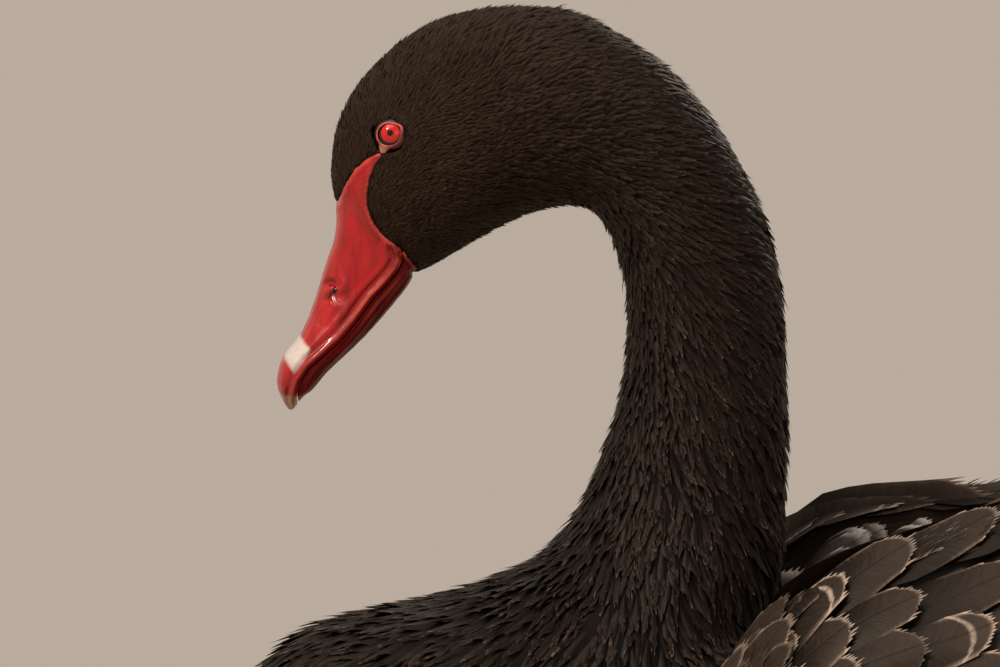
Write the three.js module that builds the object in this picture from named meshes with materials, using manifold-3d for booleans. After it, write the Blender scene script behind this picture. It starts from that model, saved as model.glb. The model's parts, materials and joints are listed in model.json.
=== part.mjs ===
// A life-size black swan at rest on the water, set down on its belly with the feet tucked under.
// Millimetres. The bird faces -X, its left side is -Y and +Z is up. The floor is z = 0.
import * as THREE from "three";
import { mergeVertices } from "three/addons/utils/BufferGeometryUtils.js";
import Module from "manifold-3d";

const wasm = await Module();
wasm.setup();

// Driving dimensions
const GAP = 0.3; // room between two pieces that touch
const LIMB_GAP = 0.35; // the same where a wing or leg lies on the body
const BLADE_REACH = 150; // how far a parting cut runs to each side of the middle
const EYE_RADIUS = 6.3;
const EYE_CENTRE = [-241.3, 16.8, 348.8];
const LID = { radius: 4.3, thickness: 0.85, tall: 1.06, turn: 0.16, lean: 0.1 };
const LID_PLACE = { out: 4.6, forward: 0.4, up: 0.3 }; // from the centre of the eye
const NOSTRIL = { x: -259.4, z: 298.4, length: 7, height: 2.6, slope: 0.33 * Math.PI };
const FLOOR_DEPTH = 40; // how far below the floor the trimming block reaches
const SCRAP = 20; // cubic millimetres, below which what a cut leaves is a scrap

// Ribs of the head and neck, from the bill to the breast. Each has the point on the nape side,
// the point on the throat side, and half the width across: [x, z, x, z, half].
const NECK_RIBS = [
  [-258.6, 326.0, -234.4, 304.9, 12.5],
  [-260.6, 337.6, -232.0, 304.8, 16.0],
  [-257.3, 355.5, -228.8, 306.0, 19.8],
  [-247.4, 370.6, -223.0, 309.1, 22.6],
  [-232.0, 383.0, -216.0, 313.3, 24.6],
  [-216.0, 388.6, -206.4, 318.7, 25.0],
  [-198.4, 389.8, -196.8, 322.9, 24.5],
  [-180.8, 387.6, -187.2, 325.2, 24.0],
  [-164.8, 379.2, -180.8, 325.2, 23.6],
  [-148.8, 366.6, -175.4, 322.6, 23.5],
  [-133.4, 347.2, -171.2, 315.8, 23.6],
  [-121.6, 322.6, -168.4, 306.6, 24.0],
  [-115.8, 300.2, -166.2, 295.4, 24.7],
  [-113.9, 273.0, -166.7, 275.5, 26.4],
  [-113.6, 250.6, -172.2, 252.2, 29.5],
  [-114.2, 225.0, -181.2, 229.8, 34.5],
  [-115.8, 196.2, -194.2, 214.2, 42.5],
  [-122.0, 165.0, -222.4, 202.2, 55.0],
  [-150.0, 120.0, -266.0, 192.4, 67.0],
  [-200.0, 80.0, -290.0, 174.0, 68.0],
];

// Ribs of the trunk, from the breast to the root of the tail: [x, top, bottom, half].
const TRUNK_RIBS = [
  [-323, 124, 108, 8],
  [-317, 148, 84, 34],
  [-300, 168, 58, 59],
  [-268, 185, 32, 82],
  [-225, 191, 11, 98],
  [-160, 190, -2, 110],
  [-80, 196, -4, 116],
  [0, 200, -4, 117],
  [70, 194, -3, 111],
  [130, 176, 8, 95],
  [185, 152, 36, 71],
  [228, 131, 68, 47],
  [258, 119, 80, 41],
  [280, 110, 90, 34],
];

// Ribs of the closed bill: culmen, underside, half the width.
const BILL_RIBS = [
  [-250.0, 329.0, -238.0, 312.0, 11.5],
  [-258.4, 326.7, -234.2, 303.6, 13.4],
  [-258.9, 317.1, -237.9, 297.4, 13.2],
  [-262.1, 307.5, -243.2, 290.9, 12.8],
  [-265.7, 295.4, -249.9, 283.5, 12.9],
  [-270.1, 284.8, -257.0, 276.8, 13.4],
  [-275.0, 278.7, -262.1, 272.0, 13.4],
  [-277.3, 273.6, -266.2, 266.9, 11.8],
  [-277.8, 268.5, -269.4, 264.6, 9.0],
  [-276.2, 263.7, -271.4, 261.8, 4.8],
  [-274.2, 260.6, -273.0, 260.1, 1.2],
];

// Closed solid from points and faces, with its faces turned outwards.
function solidOf(points, faces) {
  const made = (list) =>
    new wasm.Manifold(
      new wasm.Mesh({
        numProp: 3,
        vertProperties: new Float32Array(points.flatMap((p) => p.toArray())),
        triVerts: new Uint32Array(list.flat()),
      }),
    );
  const solid = made(faces);
  return solid.volume() > 0 ? solid : made(faces.map(([a, b, c]) => [a, c, b]));
}

// Solid of a closed three.js geometry.
function solidOfGeometry(geometry) {
  const bare = new THREE.BufferGeometry();
  bare.setAttribute("position", geometry.getAttribute("position"));
  bare.setIndex(geometry.index);
  const merged = mergeVertices(bare, 1e-3);
  const position = merged.getAttribute("position");
  const points = [];
  for (let i = 0; i < position.count; i++)
    points.push(new THREE.Vector3().fromBufferAttribute(position, i));
  const faces = [];
  for (let i = 0; i < merged.index.count; i += 3)
    faces.push([0, 1, 2].map((k) => merged.index.getX(i + k)));
  return solidOf(points, faces);
}

// Closed tube: at(u, angle) gives its skin, with u from 0 to 1 along it.
function tube(rings, sides, at) {
  const points = [];
  const faces = [];
  const corner = (i, j) => i * sides + (j % sides);
  for (let i = 0; i <= rings; i++)
    for (let j = 0; j < sides; j++) points.push(at(i / rings, (2 * Math.PI * j) / sides));
  for (let i = 0; i < rings; i++)
    for (let j = 0; j < sides; j++)
      faces.push(
        [corner(i, j), corner(i, j + 1), corner(i + 1, j + 1)],
        [corner(i, j), corner(i + 1, j + 1), corner(i + 1, j)],
      );
  for (const [ring, flip] of [[0, true], [rings, false]]) {
    const centre = new THREE.Vector3();
    for (let j = 0; j < sides; j++) centre.addScaledVector(points[corner(ring, j)], 1 / sides);
    const middle = points.push(centre) - 1;
    for (let j = 0; j < sides; j++) {
      const edge = [corner(ring, j), corner(ring, j + 1)];
      faces.push(flip ? [edge[1], edge[0], middle] : [edge[0], edge[1], middle]);
    }
  }
  return solidOf(points, faces);
}

// Smooth line through rows of numbers: through(rows)(u) gives the row at u from 0 to 1.
function through(rows) {
  const triples = [];
  for (let k = 0; k < rows[0].length; k += 3)
    triples.push(
      new THREE.CatmullRomCurve3(
        rows.map((row) => new THREE.Vector3(row[k], row[k + 1] ?? 0, row[k + 2] ?? 0)),
        false,
        "catmullrom",
        0.5,
      ),
    );
  return (u) => triples.flatMap((curve) => curve.getPoint(u).toArray());
}

const signedPower = (value, power) => Math.sign(value) * Math.abs(value) ** power;

// Body lofted through ribs that cross the plane of symmetry, grown by an even margin.
function ribbed(ribs, rings, sides, squareness, margin = 0, pace = (u) => u) {
  const line = through(ribs);
  return tube(rings, sides, (u, angle) => {
    const [topX, topZ, lowX, lowZ, half] = line(pace(u));
    const top = new THREE.Vector3(topX, 0, topZ);
    const low = new THREE.Vector3(lowX, 0, lowZ);
    const reach = top.distanceTo(low) / 2 + margin;
    const up = top.clone().sub(low).normalize();
    return top
      .add(low)
      .multiplyScalar(0.5)
      .addScaledVector(up, reach * signedPower(Math.sin(angle), 2 / squareness))
      .add(new THREE.Vector3(0, (half + margin) * signedPower(Math.cos(angle), 2 / squareness), 0));
  });
}

const neck = (margin) => ribbed(NECK_RIBS, 42, 18, 2.15, margin);
const trunk = (margin) =>
  ribbed(
    TRUNK_RIBS.map(([x, top, low, half]) => [x, top, x, low, half]),
    27,
    26,
    2.2,
    margin,
    (u) => (u + 0.35 * u * u) / 1.35,
  );
const bill = () => ribbed(BILL_RIBS, 18, 16, 2.3);

// Thin cut along a line in the plane of symmetry, right across the body.
function blade(points) {
  const pieces = points.slice(1).map(([x, z], i) => {
    const [fromX, fromZ] = points[i];
    const length = Math.hypot(x - fromX, z - fromZ);
    const slab = new THREE.BoxGeometry(length + GAP, 2 * BLADE_REACH, GAP);
    slab.rotateY(-Math.atan2(z - fromZ, x - fromX));
    slab.translate((x + fromX) / 2, 0, (z + fromZ) / 2);
    return solidOfGeometry(slab);
  });
  return wasm.Manifold.union(pieces);
}

// Edge of the feathers round the bill: from the culmen up to the eye, back down the cheek to the
// corner of the mouth, and on under the lower bill. [x, z]
const FEATHER_EDGE = [
  [-264.0, 324.6], [-258.3, 327.0], [-256.6, 332.2], [-253.6, 338.0], [-249.4, 341.8], [-245.6, 344.0],
  [-244.2, 344.0], [-244.6, 342.4], [-246.6, 339.6], [-248.2, 335.6], [-249.0, 330.8], [-248.8, 325.8],
  [-247.4, 321.6], [-244.8, 318.0], [-241.6, 315.2], [-238.4, 313.2], [-235.6, 309.4], [-232.8, 306.0],
  [-233.2, 298.0],
];
// Line between the closed upper and lower bill, from the corner of the mouth to the tip.
const MOUTH_LINE = [
  [-238.4, 313.2], [-237.4, 309.4], [-239.2, 305.4], [-242.6, 301.4], [-247.2, 296.6], [-252.6, 289.2],
  [-257.4, 283.4], [-262.6, 278.8], [-267.6, 274.6], [-270.4, 270.0], [-271.4, 264.6], [-270.4, 260.0],
];
// Where the neck is parted, each a line from the nape side to the throat side.
const NECK_PARTINGS = {
  jaw: [[-199.4, 396.0], [-195.6, 316.0]],
  arch: [[-108.0, 301.4], [-174.0, 294.2]],
  throat: [[-104.0, 237.6], [-188.0, 241.6]],
  crop: [[-104.0, 212.0], [-116.0, 186.0], [-150.0, 160.0], [-220.0, 144.0], [-340.0, 134.0]],
};
const TAIL_PARTING = [[226.0, 150.0], [226.0, 50.0]];

const placed = (geometry, [x, y, z]) => solidOfGeometry(geometry.translate(x, y, z));

const eyeBall = (side, margin = 0) =>
  placed(new THREE.SphereGeometry(EYE_RADIUS + margin, 12, 8), [
    EYE_CENTRE[0],
    side * EYE_CENTRE[1],
    EYE_CENTRE[2],
  ]);

// Bare rim of the eyelids, a ring that lies on the cheek.
function lidRing(side) {
  const ring = new THREE.TorusGeometry(LID.radius, LID.thickness, 6, 14);
  ring.scale(1, LID.tall, 1);
  ring.rotateX(Math.PI / 2).rotateZ(side * LID.turn).rotateX(side * LID.lean);
  return placed(ring, [
    EYE_CENTRE[0] - LID_PLACE.forward,
    side * (EYE_CENTRE[1] + LID_PLACE.out),
    EYE_CENTRE[2] + LID_PLACE.up,
  ]);
}

// Slot that runs through the bill, as a swan's nostrils do.
function nostril() {
  const slot = new THREE.CylinderGeometry(1, 1, 2 * BLADE_REACH, 10);
  slot.scale(NOSTRIL.length / 2, 1, NOSTRIL.height / 2).rotateY(NOSTRIL.slope);
  return placed(slot, [NOSTRIL.x, 0, NOSTRIL.z]);
}

// Block that takes away all that would lie under the floor.
const ground = placed(new THREE.BoxGeometry(1000, 600, FLOOR_DEPTH), [0, 0, -FLOOR_DEPTH / 2]);

// Ribs of the folded left wing, half raised over the back, from the wrist to the rear. Each has its
// top edge, its widest bulge and its lower edge, as distance from the middle and height:
// [x, y, z, y, z, y, z].
const WING_RIBS = [
  [-156, 84, 160, 100, 130, 101, 100],
  [-122, 85, 204, 121, 150, 113, 78],
  [-62, 81, 231, 133, 152, 119, 62],
  [20, 71, 236, 136, 146, 119, 56],
  [100, 56, 226, 127, 140, 107, 60],
  [180, 38, 198, 98, 140, 84, 88],
  [245, 27, 166, 68, 136, 62, 110],
  [292, 20, 146, 42, 130, 42, 118],
];
const WING_DEPTH = { edge: 3.4, middle: 17, lower: 9 }; // thickness at the top edge, bulge and lower edge
const CORE_TAPER = { wrist: 8, rear: 3, least: 0.16 }; // how fast the flesh thickens from its ends
const WING_CORE_END = 205; // where the flesh of the wing stops and only feathers go on

// Tiers of wing feathers from the wrist back: the x of their roots, how many feathers, the part of the
// face from top to lower edge that the roots span, the length and width of one, how far a root is sunk
// and a tip stands off the face, how much each feather lies above the one below it at the tips, and how
// far the feathers turn up towards the top edge.
const WING_TIERS = [
  [-141, 4, 0.16, 0.86, 62, 34, 1.8, 5, 0.5, 0.06],
  [-106, 5, 0.08, 0.9, 76, 36, 1.8, 6, 0.5, 0.05],
  [-60, 6, 0.06, 0.92, 92, 36, 1.8, 7, 0.5, 0.05],
  [-4, 6, 0.06, 0.9, 108, 38, 1.8, 7, 0.6, 0.05],
  [58, 5, 0.07, 0.86, 122, 42, 1.8, 6, 1.1, 0.04],
  [120, 5, 0.08, 0.84, 144, 37, 1.8, 4, 2.1, 0.02],
  [172, 3, 0.36, 0.76, 118, 24, 4.5, -6.5, 1.7, 0],
].map(([x, count, top, low, length, width, sink, lift, stack, turn]) => ({
  x, count, top, low, length, width, sink, lift, stack, turn,
}));
// A feather's thickness at the quill and at the edge, its curve across and its tilt.
const VANE = { quill: 1.3, edge: 0.6, camber: 1.1, roll: 0.1 };

// Tail feathers: a fan under shorter coverts. Half the number to each side of the middle one, the x of
// the roots and tips, the width of one, and the room between neighbours at the roots and at the tips.
const TAIL_FANS = {
  quills: { half: 6, root: 236, tip: 323, rounding: 1.6, width: 23, rootRoom: 4.2, tipRoom: 7.4, raise: 0 },
  upper: { half: 2, root: 238, tip: 294, rounding: 7, width: 25, rootRoom: 9, tipRoom: 13, raise: 2.4 },
  under: { half: 2, root: 238, tip: 296, rounding: 7, width: 25, rootRoom: 9, tipRoom: 12, raise: -14.6 },
};
// Height of the tail's middle feather, the step down to the next, and how far a feather's edges droop.
const TAIL_TOP = { root: 113, tip: 104, stack: 1.9, camber: 0.3 };

const wingLine = through(WING_RIBS);

THREE.MathUtils.seededRandom(7);

// Point of the wing's outer face: u from the wrist to the rear, v from the top edge to the lower one.
function wingFace(u, v) {
  const [x, topY, topZ, outY, outZ, lowY, lowZ] = wingLine(u);
  const bulge = (top, out, low) =>
    (1 - v) ** 2 * top + 2 * v * (1 - v) * (2 * out - (top + low) / 2) + v ** 2 * low;
  return new THREE.Vector3(x, -bulge(topY, outY, lowY), bulge(topZ, outZ, lowZ));
}

// Outward normal of the wing's face.
function wingNormal(u, v) {
  const step = 0.01;
  const along = wingFace(Math.min(u + step, 1), v).sub(wingFace(Math.max(u - step, 0), v));
  const down = wingFace(u, v + step).sub(wingFace(u, v - step));
  return down.cross(along).normalize();
}

// How far along the wing a given x lies.
function wingAt(x) {
  let [low, high] = [0, 1];
  for (let i = 0; i < 24; i++) {
    const middle = (low + high) / 2;
    if (wingLine(middle)[0] < x) low = middle;
    else high = middle;
  }
  return low;
}

// Height of the wing's face along its curve, from the top edge to the lower one.
const wingHeight = (u) =>
  wingFace(u, 0).distanceTo(wingFace(u, 0.5)) + wingFace(u, 0.5).distanceTo(wingFace(u, 1));

// Half the width of a feather along it, for a width of 1: narrow at the root, round at the tip.
const VANE_OUTLINE = [[0, 0.28], [0.42, 0.47], [0.8, 0.46], [1, 0.18]];

// One feather as a thin closed plate, split into triangles alike on both faces. place(along, across)
// gives a point of its middle surface and the normal there, with across from -1 to 1.
function vane(place) {
  const points = [];
  const faces = [];
  const columns = [-1, 0, 1];
  const corner = (i, j, face) => 2 * (i * columns.length + j) + face;
  VANE_OUTLINE.forEach(([along, half]) =>
    columns.forEach((across) => {
      const { point, normal } = place(along, across, half);
      const thickness = across === 0 && along < 1 ? VANE.quill : VANE.edge;
      points.push(point.clone().addScaledVector(normal, thickness / 2));
      points.push(point.clone().addScaledVector(normal, -thickness / 2));
    }),
  );
  const quad = (a, b, c, d) => faces.push([a, b, c], [a, c, d]);
  const rows = VANE_OUTLINE.length - 1;
  for (let i = 0; i < rows; i++) {
    quad(corner(i, 0, 0), corner(i, 1, 0), corner(i + 1, 1, 0), corner(i + 1, 0, 0));
    quad(corner(i, 1, 0), corner(i, 2, 0), corner(i + 1, 2, 0), corner(i + 1, 1, 0));
    faces.push([corner(i, 0, 1), corner(i + 1, 1, 1), corner(i, 1, 1)]);
    faces.push([corner(i, 0, 1), corner(i + 1, 0, 1), corner(i + 1, 1, 1)]);
    faces.push([corner(i, 1, 1), corner(i + 1, 2, 1), corner(i, 2, 1)]);
    faces.push([corner(i, 1, 1), corner(i + 1, 1, 1), corner(i + 1, 2, 1)]);
    quad(corner(i, 0, 0), corner(i + 1, 0, 0), corner(i + 1, 0, 1), corner(i, 0, 1));
    quad(corner(i, 2, 1), corner(i + 1, 2, 1), corner(i + 1, 2, 0), corner(i, 2, 0));
  }
  for (let j = 0; j < columns.length - 1; j++) {
    quad(corner(0, j, 1), corner(0, j + 1, 1), corner(0, j + 1, 0), corner(0, j, 0));
    quad(corner(rows, j, 0), corner(rows, j + 1, 0), corner(rows, j + 1, 1), corner(rows, j, 1));
  }
  return solidOf(points, faces);
}

// Feathers of one tier of the wing, the upper ones lying over the lower ones.
function wingTier(tier) {
  return Array.from({ length: tier.count }, (_, j) => {
    const rootAt = THREE.MathUtils.lerp(tier.top, tier.low, j / (tier.count - 1));
    const length = tier.length * (1 + 0.06 * (THREE.MathUtils.seededRandom() - 0.5));
    const tipLift = tier.lift + tier.stack * (tier.count - 1 - j);
    return vane((along, across, half) => {
      const u = wingAt(tier.x + along * length);
      const aside = (across * half * tier.width) / wingHeight(u);
      const v = rootAt - tier.turn * along + aside;
      const spread = Math.min(1, along * 3);
      const tilt = spread * (across * half * tier.width * VANE.roll - across ** 2 * VANE.camber);
      const lift = THREE.MathUtils.lerp(-tier.sink, tipLift, along) + tilt;
      const normal = wingNormal(u, v);
      return { point: wingFace(u, v).addScaledVector(normal, lift), normal };
    });
  });
}

// Feathers of one fan of the tail.
function tailFan(fan) {
  return Array.from({ length: 2 * fan.half + 1 }, (_, i) => {
    const place = i - fan.half;
    return vane((along, across, half) => {
      const x = THREE.MathUtils.lerp(fan.root, fan.tip - fan.rounding * Math.abs(place) * along, along);
      const room = THREE.MathUtils.lerp(fan.rootRoom, fan.tipRoom, along);
      const y = place * room + across * half * fan.width;
      const down = (TAIL_TOP.stack / TAIL_FANS.quills.tipRoom) * room * Math.abs(place);
      const { root, tip } = TAIL_FANS.quills;
      const top = THREE.MathUtils.mapLinear(x, root, tip, TAIL_TOP.root, TAIL_TOP.tip);
      const z = top + fan.raise - Math.sign(fan.raise || 1) * down - across ** 2 * TAIL_TOP.camber;
      return { point: new THREE.Vector3(x, y, z), normal: new THREE.Vector3(0, 0, 1) };
    });
  });
}

// Arm of the wing, a thick shell that the feathers grow from.
function wingCore() {
  const depth = (v) =>
    v < 0.5
      ? THREE.MathUtils.lerp(WING_DEPTH.edge, WING_DEPTH.middle, v * 2)
      : THREE.MathUtils.lerp(WING_DEPTH.middle, WING_DEPTH.lower, v * 2 - 1);
  const sides = 12;
  const end = wingAt(WING_CORE_END);
  return tube(11, sides, (share, angle) => {
    const u = share * end;
    const j = Math.round((angle / (2 * Math.PI)) * sides);
    const outer = j <= sides / 2;
    const v = outer ? j / (sides / 2) : 1 - (j - sides / 2) / (sides / 2);
    const ends = Math.min(u * CORE_TAPER.wrist, (1 - share) * CORE_TAPER.rear);
    const taper = Math.min(ends + CORE_TAPER.least, 1);
    return wingFace(u, v).addScaledVector(wingNormal(u, v), outer ? 0 : -depth(v) * taper);
  });
}

const mirrored = (solid) => solid.mirror([0, 1, 0]);

function wing(body) {
  return wasm.Manifold.union([wingCore(), ...WING_TIERS.flatMap(wingTier)]).subtract(body);
}

// Folded leg: the shank lies along the floor and the webbed foot points forward.
const LEG = {
  y: 80, heelX: 108, ankleX: 18, ankleY: 76, kneeX: 74, kneeY: 68, kneeZ: 62, radius: 6.6, thigh: 18.5,
};
const SHANK_TAPER = 1.4; // how much thinner the shank is at the ankle
const FOOT = {
  toes: [[-84, 106], [-104, 86], [-90, 62]], // [x, distance from the middle]
  toeRadius: 3.6, toeHeight: 3, clawLength: 9, clawTip: 0.6, webHeight: 2.6,
};

function rod(from, to, fromRadius, toRadius, sides = 8) {
  const axis = to.clone().sub(from);
  const geometry = new THREE.CylinderGeometry(toRadius, fromRadius, axis.length(), sides);
  geometry.translate(0, axis.length() / 2, 0);
  geometry.applyQuaternion(
    new THREE.Quaternion().setFromUnitVectors(new THREE.Vector3(0, 1, 0), axis.normalize()),
  );
  return placed(geometry, from.toArray());
}

const ball = (at, radius) => placed(new THREE.SphereGeometry(radius, 8, 6), at.toArray());

function legAndFoot(body) {
  const heel = new THREE.Vector3(LEG.heelX, -LEG.y, LEG.radius);
  const ankleRadius = LEG.radius - SHANK_TAPER;
  const ankle = new THREE.Vector3(LEG.ankleX, -LEG.ankleY, ankleRadius);
  const knee = new THREE.Vector3(LEG.kneeX, -LEG.kneeY, LEG.kneeZ);
  const shank = wasm.Manifold.union([
    rod(knee, heel, LEG.thigh, LEG.radius, 10),
    ball(heel, LEG.radius + 1),
    rod(heel, ankle, LEG.radius, ankleRadius),
    ball(ankle, ankleRadius),
  ]);
  const toes = FOOT.toes.map(([x, y]) => new THREE.Vector3(x, -y, FOOT.toeHeight));
  const web = new THREE.Shape([
    new THREE.Vector2(ankle.x + 3, ankle.y),
    ...toes.map((toe) => new THREE.Vector2(toe.x + FOOT.toeRadius, toe.y)),
  ]);
  const foot = wasm.Manifold.union([
    solidOfGeometry(new THREE.ExtrudeGeometry(web, { depth: FOOT.webHeight, bevelEnabled: false })),
    ...toes.flatMap((toe) => {
      const claw = toe.clone().add(new THREE.Vector3(-FOOT.clawLength, 0, FOOT.clawTip - FOOT.toeHeight + 1));
      return [
        rod(ankle, toe, FOOT.toeRadius + 1, FOOT.toeRadius, 6),
        rod(toe, claw, FOOT.toeRadius, FOOT.clawTip, 6),
      ];
    }),
  ]);
  const limb = wasm.Manifold.union([shank, foot]).subtract(wasm.Manifold.union([ground, body]));
  const joint = ankle.x - LEG.radius;
  return {
    leg: limb.trimByPlane([1, 0, 0], joint + GAP / 2),
    foot: limb.trimByPlane([-1, 0, 0], GAP / 2 - joint),
  };
}

// The largest closed surface of a solid.
const largest = (solid) => solid.decompose().sort((a, b) => b.volume() - a.volume())[0];

// The flesh, parted into its nodes by thin cuts. Each piece is told by a point that it holds.
function partFlesh() {
  const whole = wasm.Manifold.union([neck(), trunk(), bill(), lidRing(-1), lidRing(1)]).subtract(ground);
  const cuts = [FEATHER_EDGE, MOUTH_LINE, ...Object.values(NECK_PARTINGS), TAIL_PARTING].map(blade);
  const sockets = [eyeBall(-1, GAP), eyeBall(1, GAP)];
  const pieces = whole
    .subtract(wasm.Manifold.union([...cuts, ...sockets, nostril()]))
    .decompose()
    .filter((piece) => piece.volume() > SCRAP);
  const marks = {
    trunk: [-60, 100],
    neck_base: [-180, 190],
    neck_middle: [-140, 270],
    neck_arch: [-150, 340],
    head: [-215, 350],
    upper_bill: [-262, 301],
    lower_bill: [-248, 288],
    tail: [245, 104],
  };
  return Object.fromEntries(
    Object.entries(marks).map(([name, [x, z]]) => {
      const probe = placed(new THREE.BoxGeometry(1, 1, 1), [x, 0, z]);
      return [name, pieces.find((piece) => piece.intersect(probe).volume() > 0.5)];
    }),
  );
}

// Colours and finishes
const finish = (color, roughness, metalness = 0) =>
  new THREE.MeshStandardMaterial({ color, roughness, metalness });
const FEATHER = finish("#1c1613", 0.75);
const WING_FEATHER = finish("#3a2e28", 0.7);
const BILL_RED = finish("#b01c1c", 0.35);
const EYE_RED = finish("#c8201c", 0.1);
const LEG_SKIN = finish("#26221f", 0.6);

// Mesh of a solid.
function meshOf(name, solid, material) {
  const { vertProperties, triVerts, numProp } = solid.getMesh();
  const geometry = new THREE.BufferGeometry();
  const position = new Float32Array((vertProperties.length / numProp) * 3);
  for (let i = 0; i < position.length / 3; i++)
    position.set(vertProperties.subarray(i * numProp, i * numProp + 3), i * 3);
  geometry.setAttribute("position", new THREE.BufferAttribute(position, 3));
  geometry.setIndex(new THREE.BufferAttribute(triVerts, 1));
  geometry.computeVertexNormals();
  const mesh = new THREE.Mesh(geometry, material);
  mesh.name = name;
  return mesh;
}

const flesh = partFlesh();
flesh.tail = wasm.Manifold.union([flesh.tail, ...Object.values(TAIL_FANS).flatMap(tailFan)]);
const grownBody = wasm.Manifold.union([neck(LIMB_GAP), trunk(LIMB_GAP)]);
const leftWing = wing(grownBody);
const left = legAndFoot(grownBody);

const swan = new THREE.Group();
for (const [name, solid] of Object.entries(flesh))
  swan.add(meshOf(name, largest(solid), name.endsWith("bill") ? BILL_RED : FEATHER));
for (const [side, place] of [["left", (s) => s], ["right", mirrored]]) {
  swan.add(
    meshOf(`${side}_eye`, eyeBall(side === "left" ? -1 : 1), EYE_RED),
    meshOf(`${side}_wing`, place(largest(leftWing)), WING_FEATHER),
    meshOf(`${side}_leg`, place(largest(left.leg)), LEG_SKIN),
    meshOf(`${side}_foot`, place(largest(left.foot)), LEG_SKIN),
  );
}
export default swan;
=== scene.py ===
# %% [markdown]
# # A black swan, life size
#
# The bird sits on its belly with its neck drawn back, its bill lowered and its wings half raised.
# The solids of the model give every length and place. Here they get their skin, their feathers,
# the bare red bill and the eyes. Everything is in metres, the bird faces -X and the floor is z = 0.

# %% Load the frame
import heapq
import json
import math

import bpy
import numpy as np
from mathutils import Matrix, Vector, noise
from mathutils.bvhtree import BVHTree
from mathutils.kdtree import KDTree

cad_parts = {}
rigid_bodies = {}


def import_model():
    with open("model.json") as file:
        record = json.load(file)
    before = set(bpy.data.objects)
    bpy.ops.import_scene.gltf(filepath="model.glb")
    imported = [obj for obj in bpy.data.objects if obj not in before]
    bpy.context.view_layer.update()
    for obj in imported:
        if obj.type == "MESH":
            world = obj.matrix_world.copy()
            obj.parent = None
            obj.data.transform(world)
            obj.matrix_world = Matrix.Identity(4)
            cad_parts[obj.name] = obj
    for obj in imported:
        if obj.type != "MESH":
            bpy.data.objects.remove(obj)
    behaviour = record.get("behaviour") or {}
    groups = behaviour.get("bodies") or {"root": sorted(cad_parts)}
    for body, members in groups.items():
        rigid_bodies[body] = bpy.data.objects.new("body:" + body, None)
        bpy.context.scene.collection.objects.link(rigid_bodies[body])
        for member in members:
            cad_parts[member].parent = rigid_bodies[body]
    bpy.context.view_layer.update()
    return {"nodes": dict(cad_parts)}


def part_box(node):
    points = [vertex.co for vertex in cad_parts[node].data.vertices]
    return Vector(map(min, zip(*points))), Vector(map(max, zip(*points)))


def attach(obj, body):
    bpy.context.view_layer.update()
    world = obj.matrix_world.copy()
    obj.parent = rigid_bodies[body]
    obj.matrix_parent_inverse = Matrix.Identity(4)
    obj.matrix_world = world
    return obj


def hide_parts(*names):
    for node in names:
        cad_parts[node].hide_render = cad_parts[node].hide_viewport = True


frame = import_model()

MM = 0.001
SAME_PLACE = 0.01 * MM  # corners nearer than this are one
rng = np.random.default_rng(11)

# %% [markdown]
# ## Small helpers
#
# Operators act on whatever is selected, so each helper first selects its piece alone. A finished piece
# has its modifiers applied, so that what is exported is what is seen.

# %% Selecting and editing
def only(piece):
    bpy.ops.object.select_all(action="DESELECT")
    piece.select_set(True)
    bpy.context.view_layer.objects.active = piece


def apply_modifiers(piece):
    only(piece)
    for modifier in list(piece.modifiers):
        bpy.ops.object.modifier_apply(modifier=modifier.name)


def edit_all(piece, operator, **settings):
    """Runs one mesh operator on the whole of a piece."""
    only(piece)
    bpy.ops.object.mode_set(mode="EDIT")
    bpy.ops.mesh.select_all(action="SELECT")
    operator(**settings)
    bpy.ops.object.mode_set(mode="OBJECT")


def copy_of(nodes, name):
    """A joined copy of CAD nodes with its doubled corners merged and nothing else carried over."""
    bpy.ops.object.select_all(action="DESELECT")
    for node in nodes:
        frame["nodes"][node].select_set(True)
    bpy.context.view_layer.objects.active = frame["nodes"][nodes[0]]
    bpy.ops.object.duplicate()
    if len(nodes) > 1:
        bpy.ops.object.join()
    piece = bpy.context.view_layer.objects.active
    piece.name = name
    piece.data.name = name
    for key in [key for key in piece.keys() if key.startswith("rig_")]:
        del piece[key]
    piece.parent = None
    piece.data.materials.clear()
    edit_all(piece, bpy.ops.mesh.remove_doubles, threshold=SAME_PLACE)
    return piece


def remesh(piece, voxel, rounds, swell=0.0):
    """Swells a piece so that its gaps close, then gives it one even skin and smooths it."""
    if swell:
        swelling = piece.modifiers.new("swell", "DISPLACE")
        swelling.strength, swelling.mid_level = swell, 0.0
    skin = piece.modifiers.new("skin", "REMESH")
    skin.mode, skin.voxel_size, skin.use_smooth_shade = "VOXEL", voxel, True
    smooth = piece.modifiers.new("smooth", "SMOOTH")
    smooth.factor, smooth.iterations = 0.5, rounds
    apply_modifiers(piece)


print("a copy merges corners within", SAME_PLACE / MM, "mm")

# %% [markdown]
# Thousands of feathers are faster to place as arrays of numbers than one by one. So the next helpers read
# a mesh's corners and normals into arrays and write them back, and a few more do sums on such arrays.

# %% Corners, normals and sums
def corners(piece):
    flat = np.empty(len(piece.data.vertices) * 3)
    piece.data.vertices.foreach_get("co", flat)
    return flat.reshape(-1, 3)


def normals(piece):
    flat = np.empty(len(piece.data.vertices) * 3)
    piece.data.vertex_normals.foreach_get("vector", flat)
    return flat.reshape(-1, 3)


def move_corners(piece, places):
    piece.data.vertices.foreach_set("co", np.asarray(places).ravel())
    piece.data.update()


def tree_of(piece):
    mesh = piece.data
    return BVHTree.FromPolygons([v.co for v in mesh.vertices], [p.vertices[:] for p in mesh.polygons])


def wear(piece, material):
    """Gives a piece its finish. The bird is still, so every piece rides on its one body."""
    piece.data.materials.clear()
    piece.data.materials.append(material)
    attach(piece, "root")
    return piece


def ramp(value, places, results):
    return np.interp(value, places, results)


def unit(rows):
    return rows / np.maximum(np.linalg.norm(rows, axis=-1, keepdims=True), 1e-12)


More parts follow.
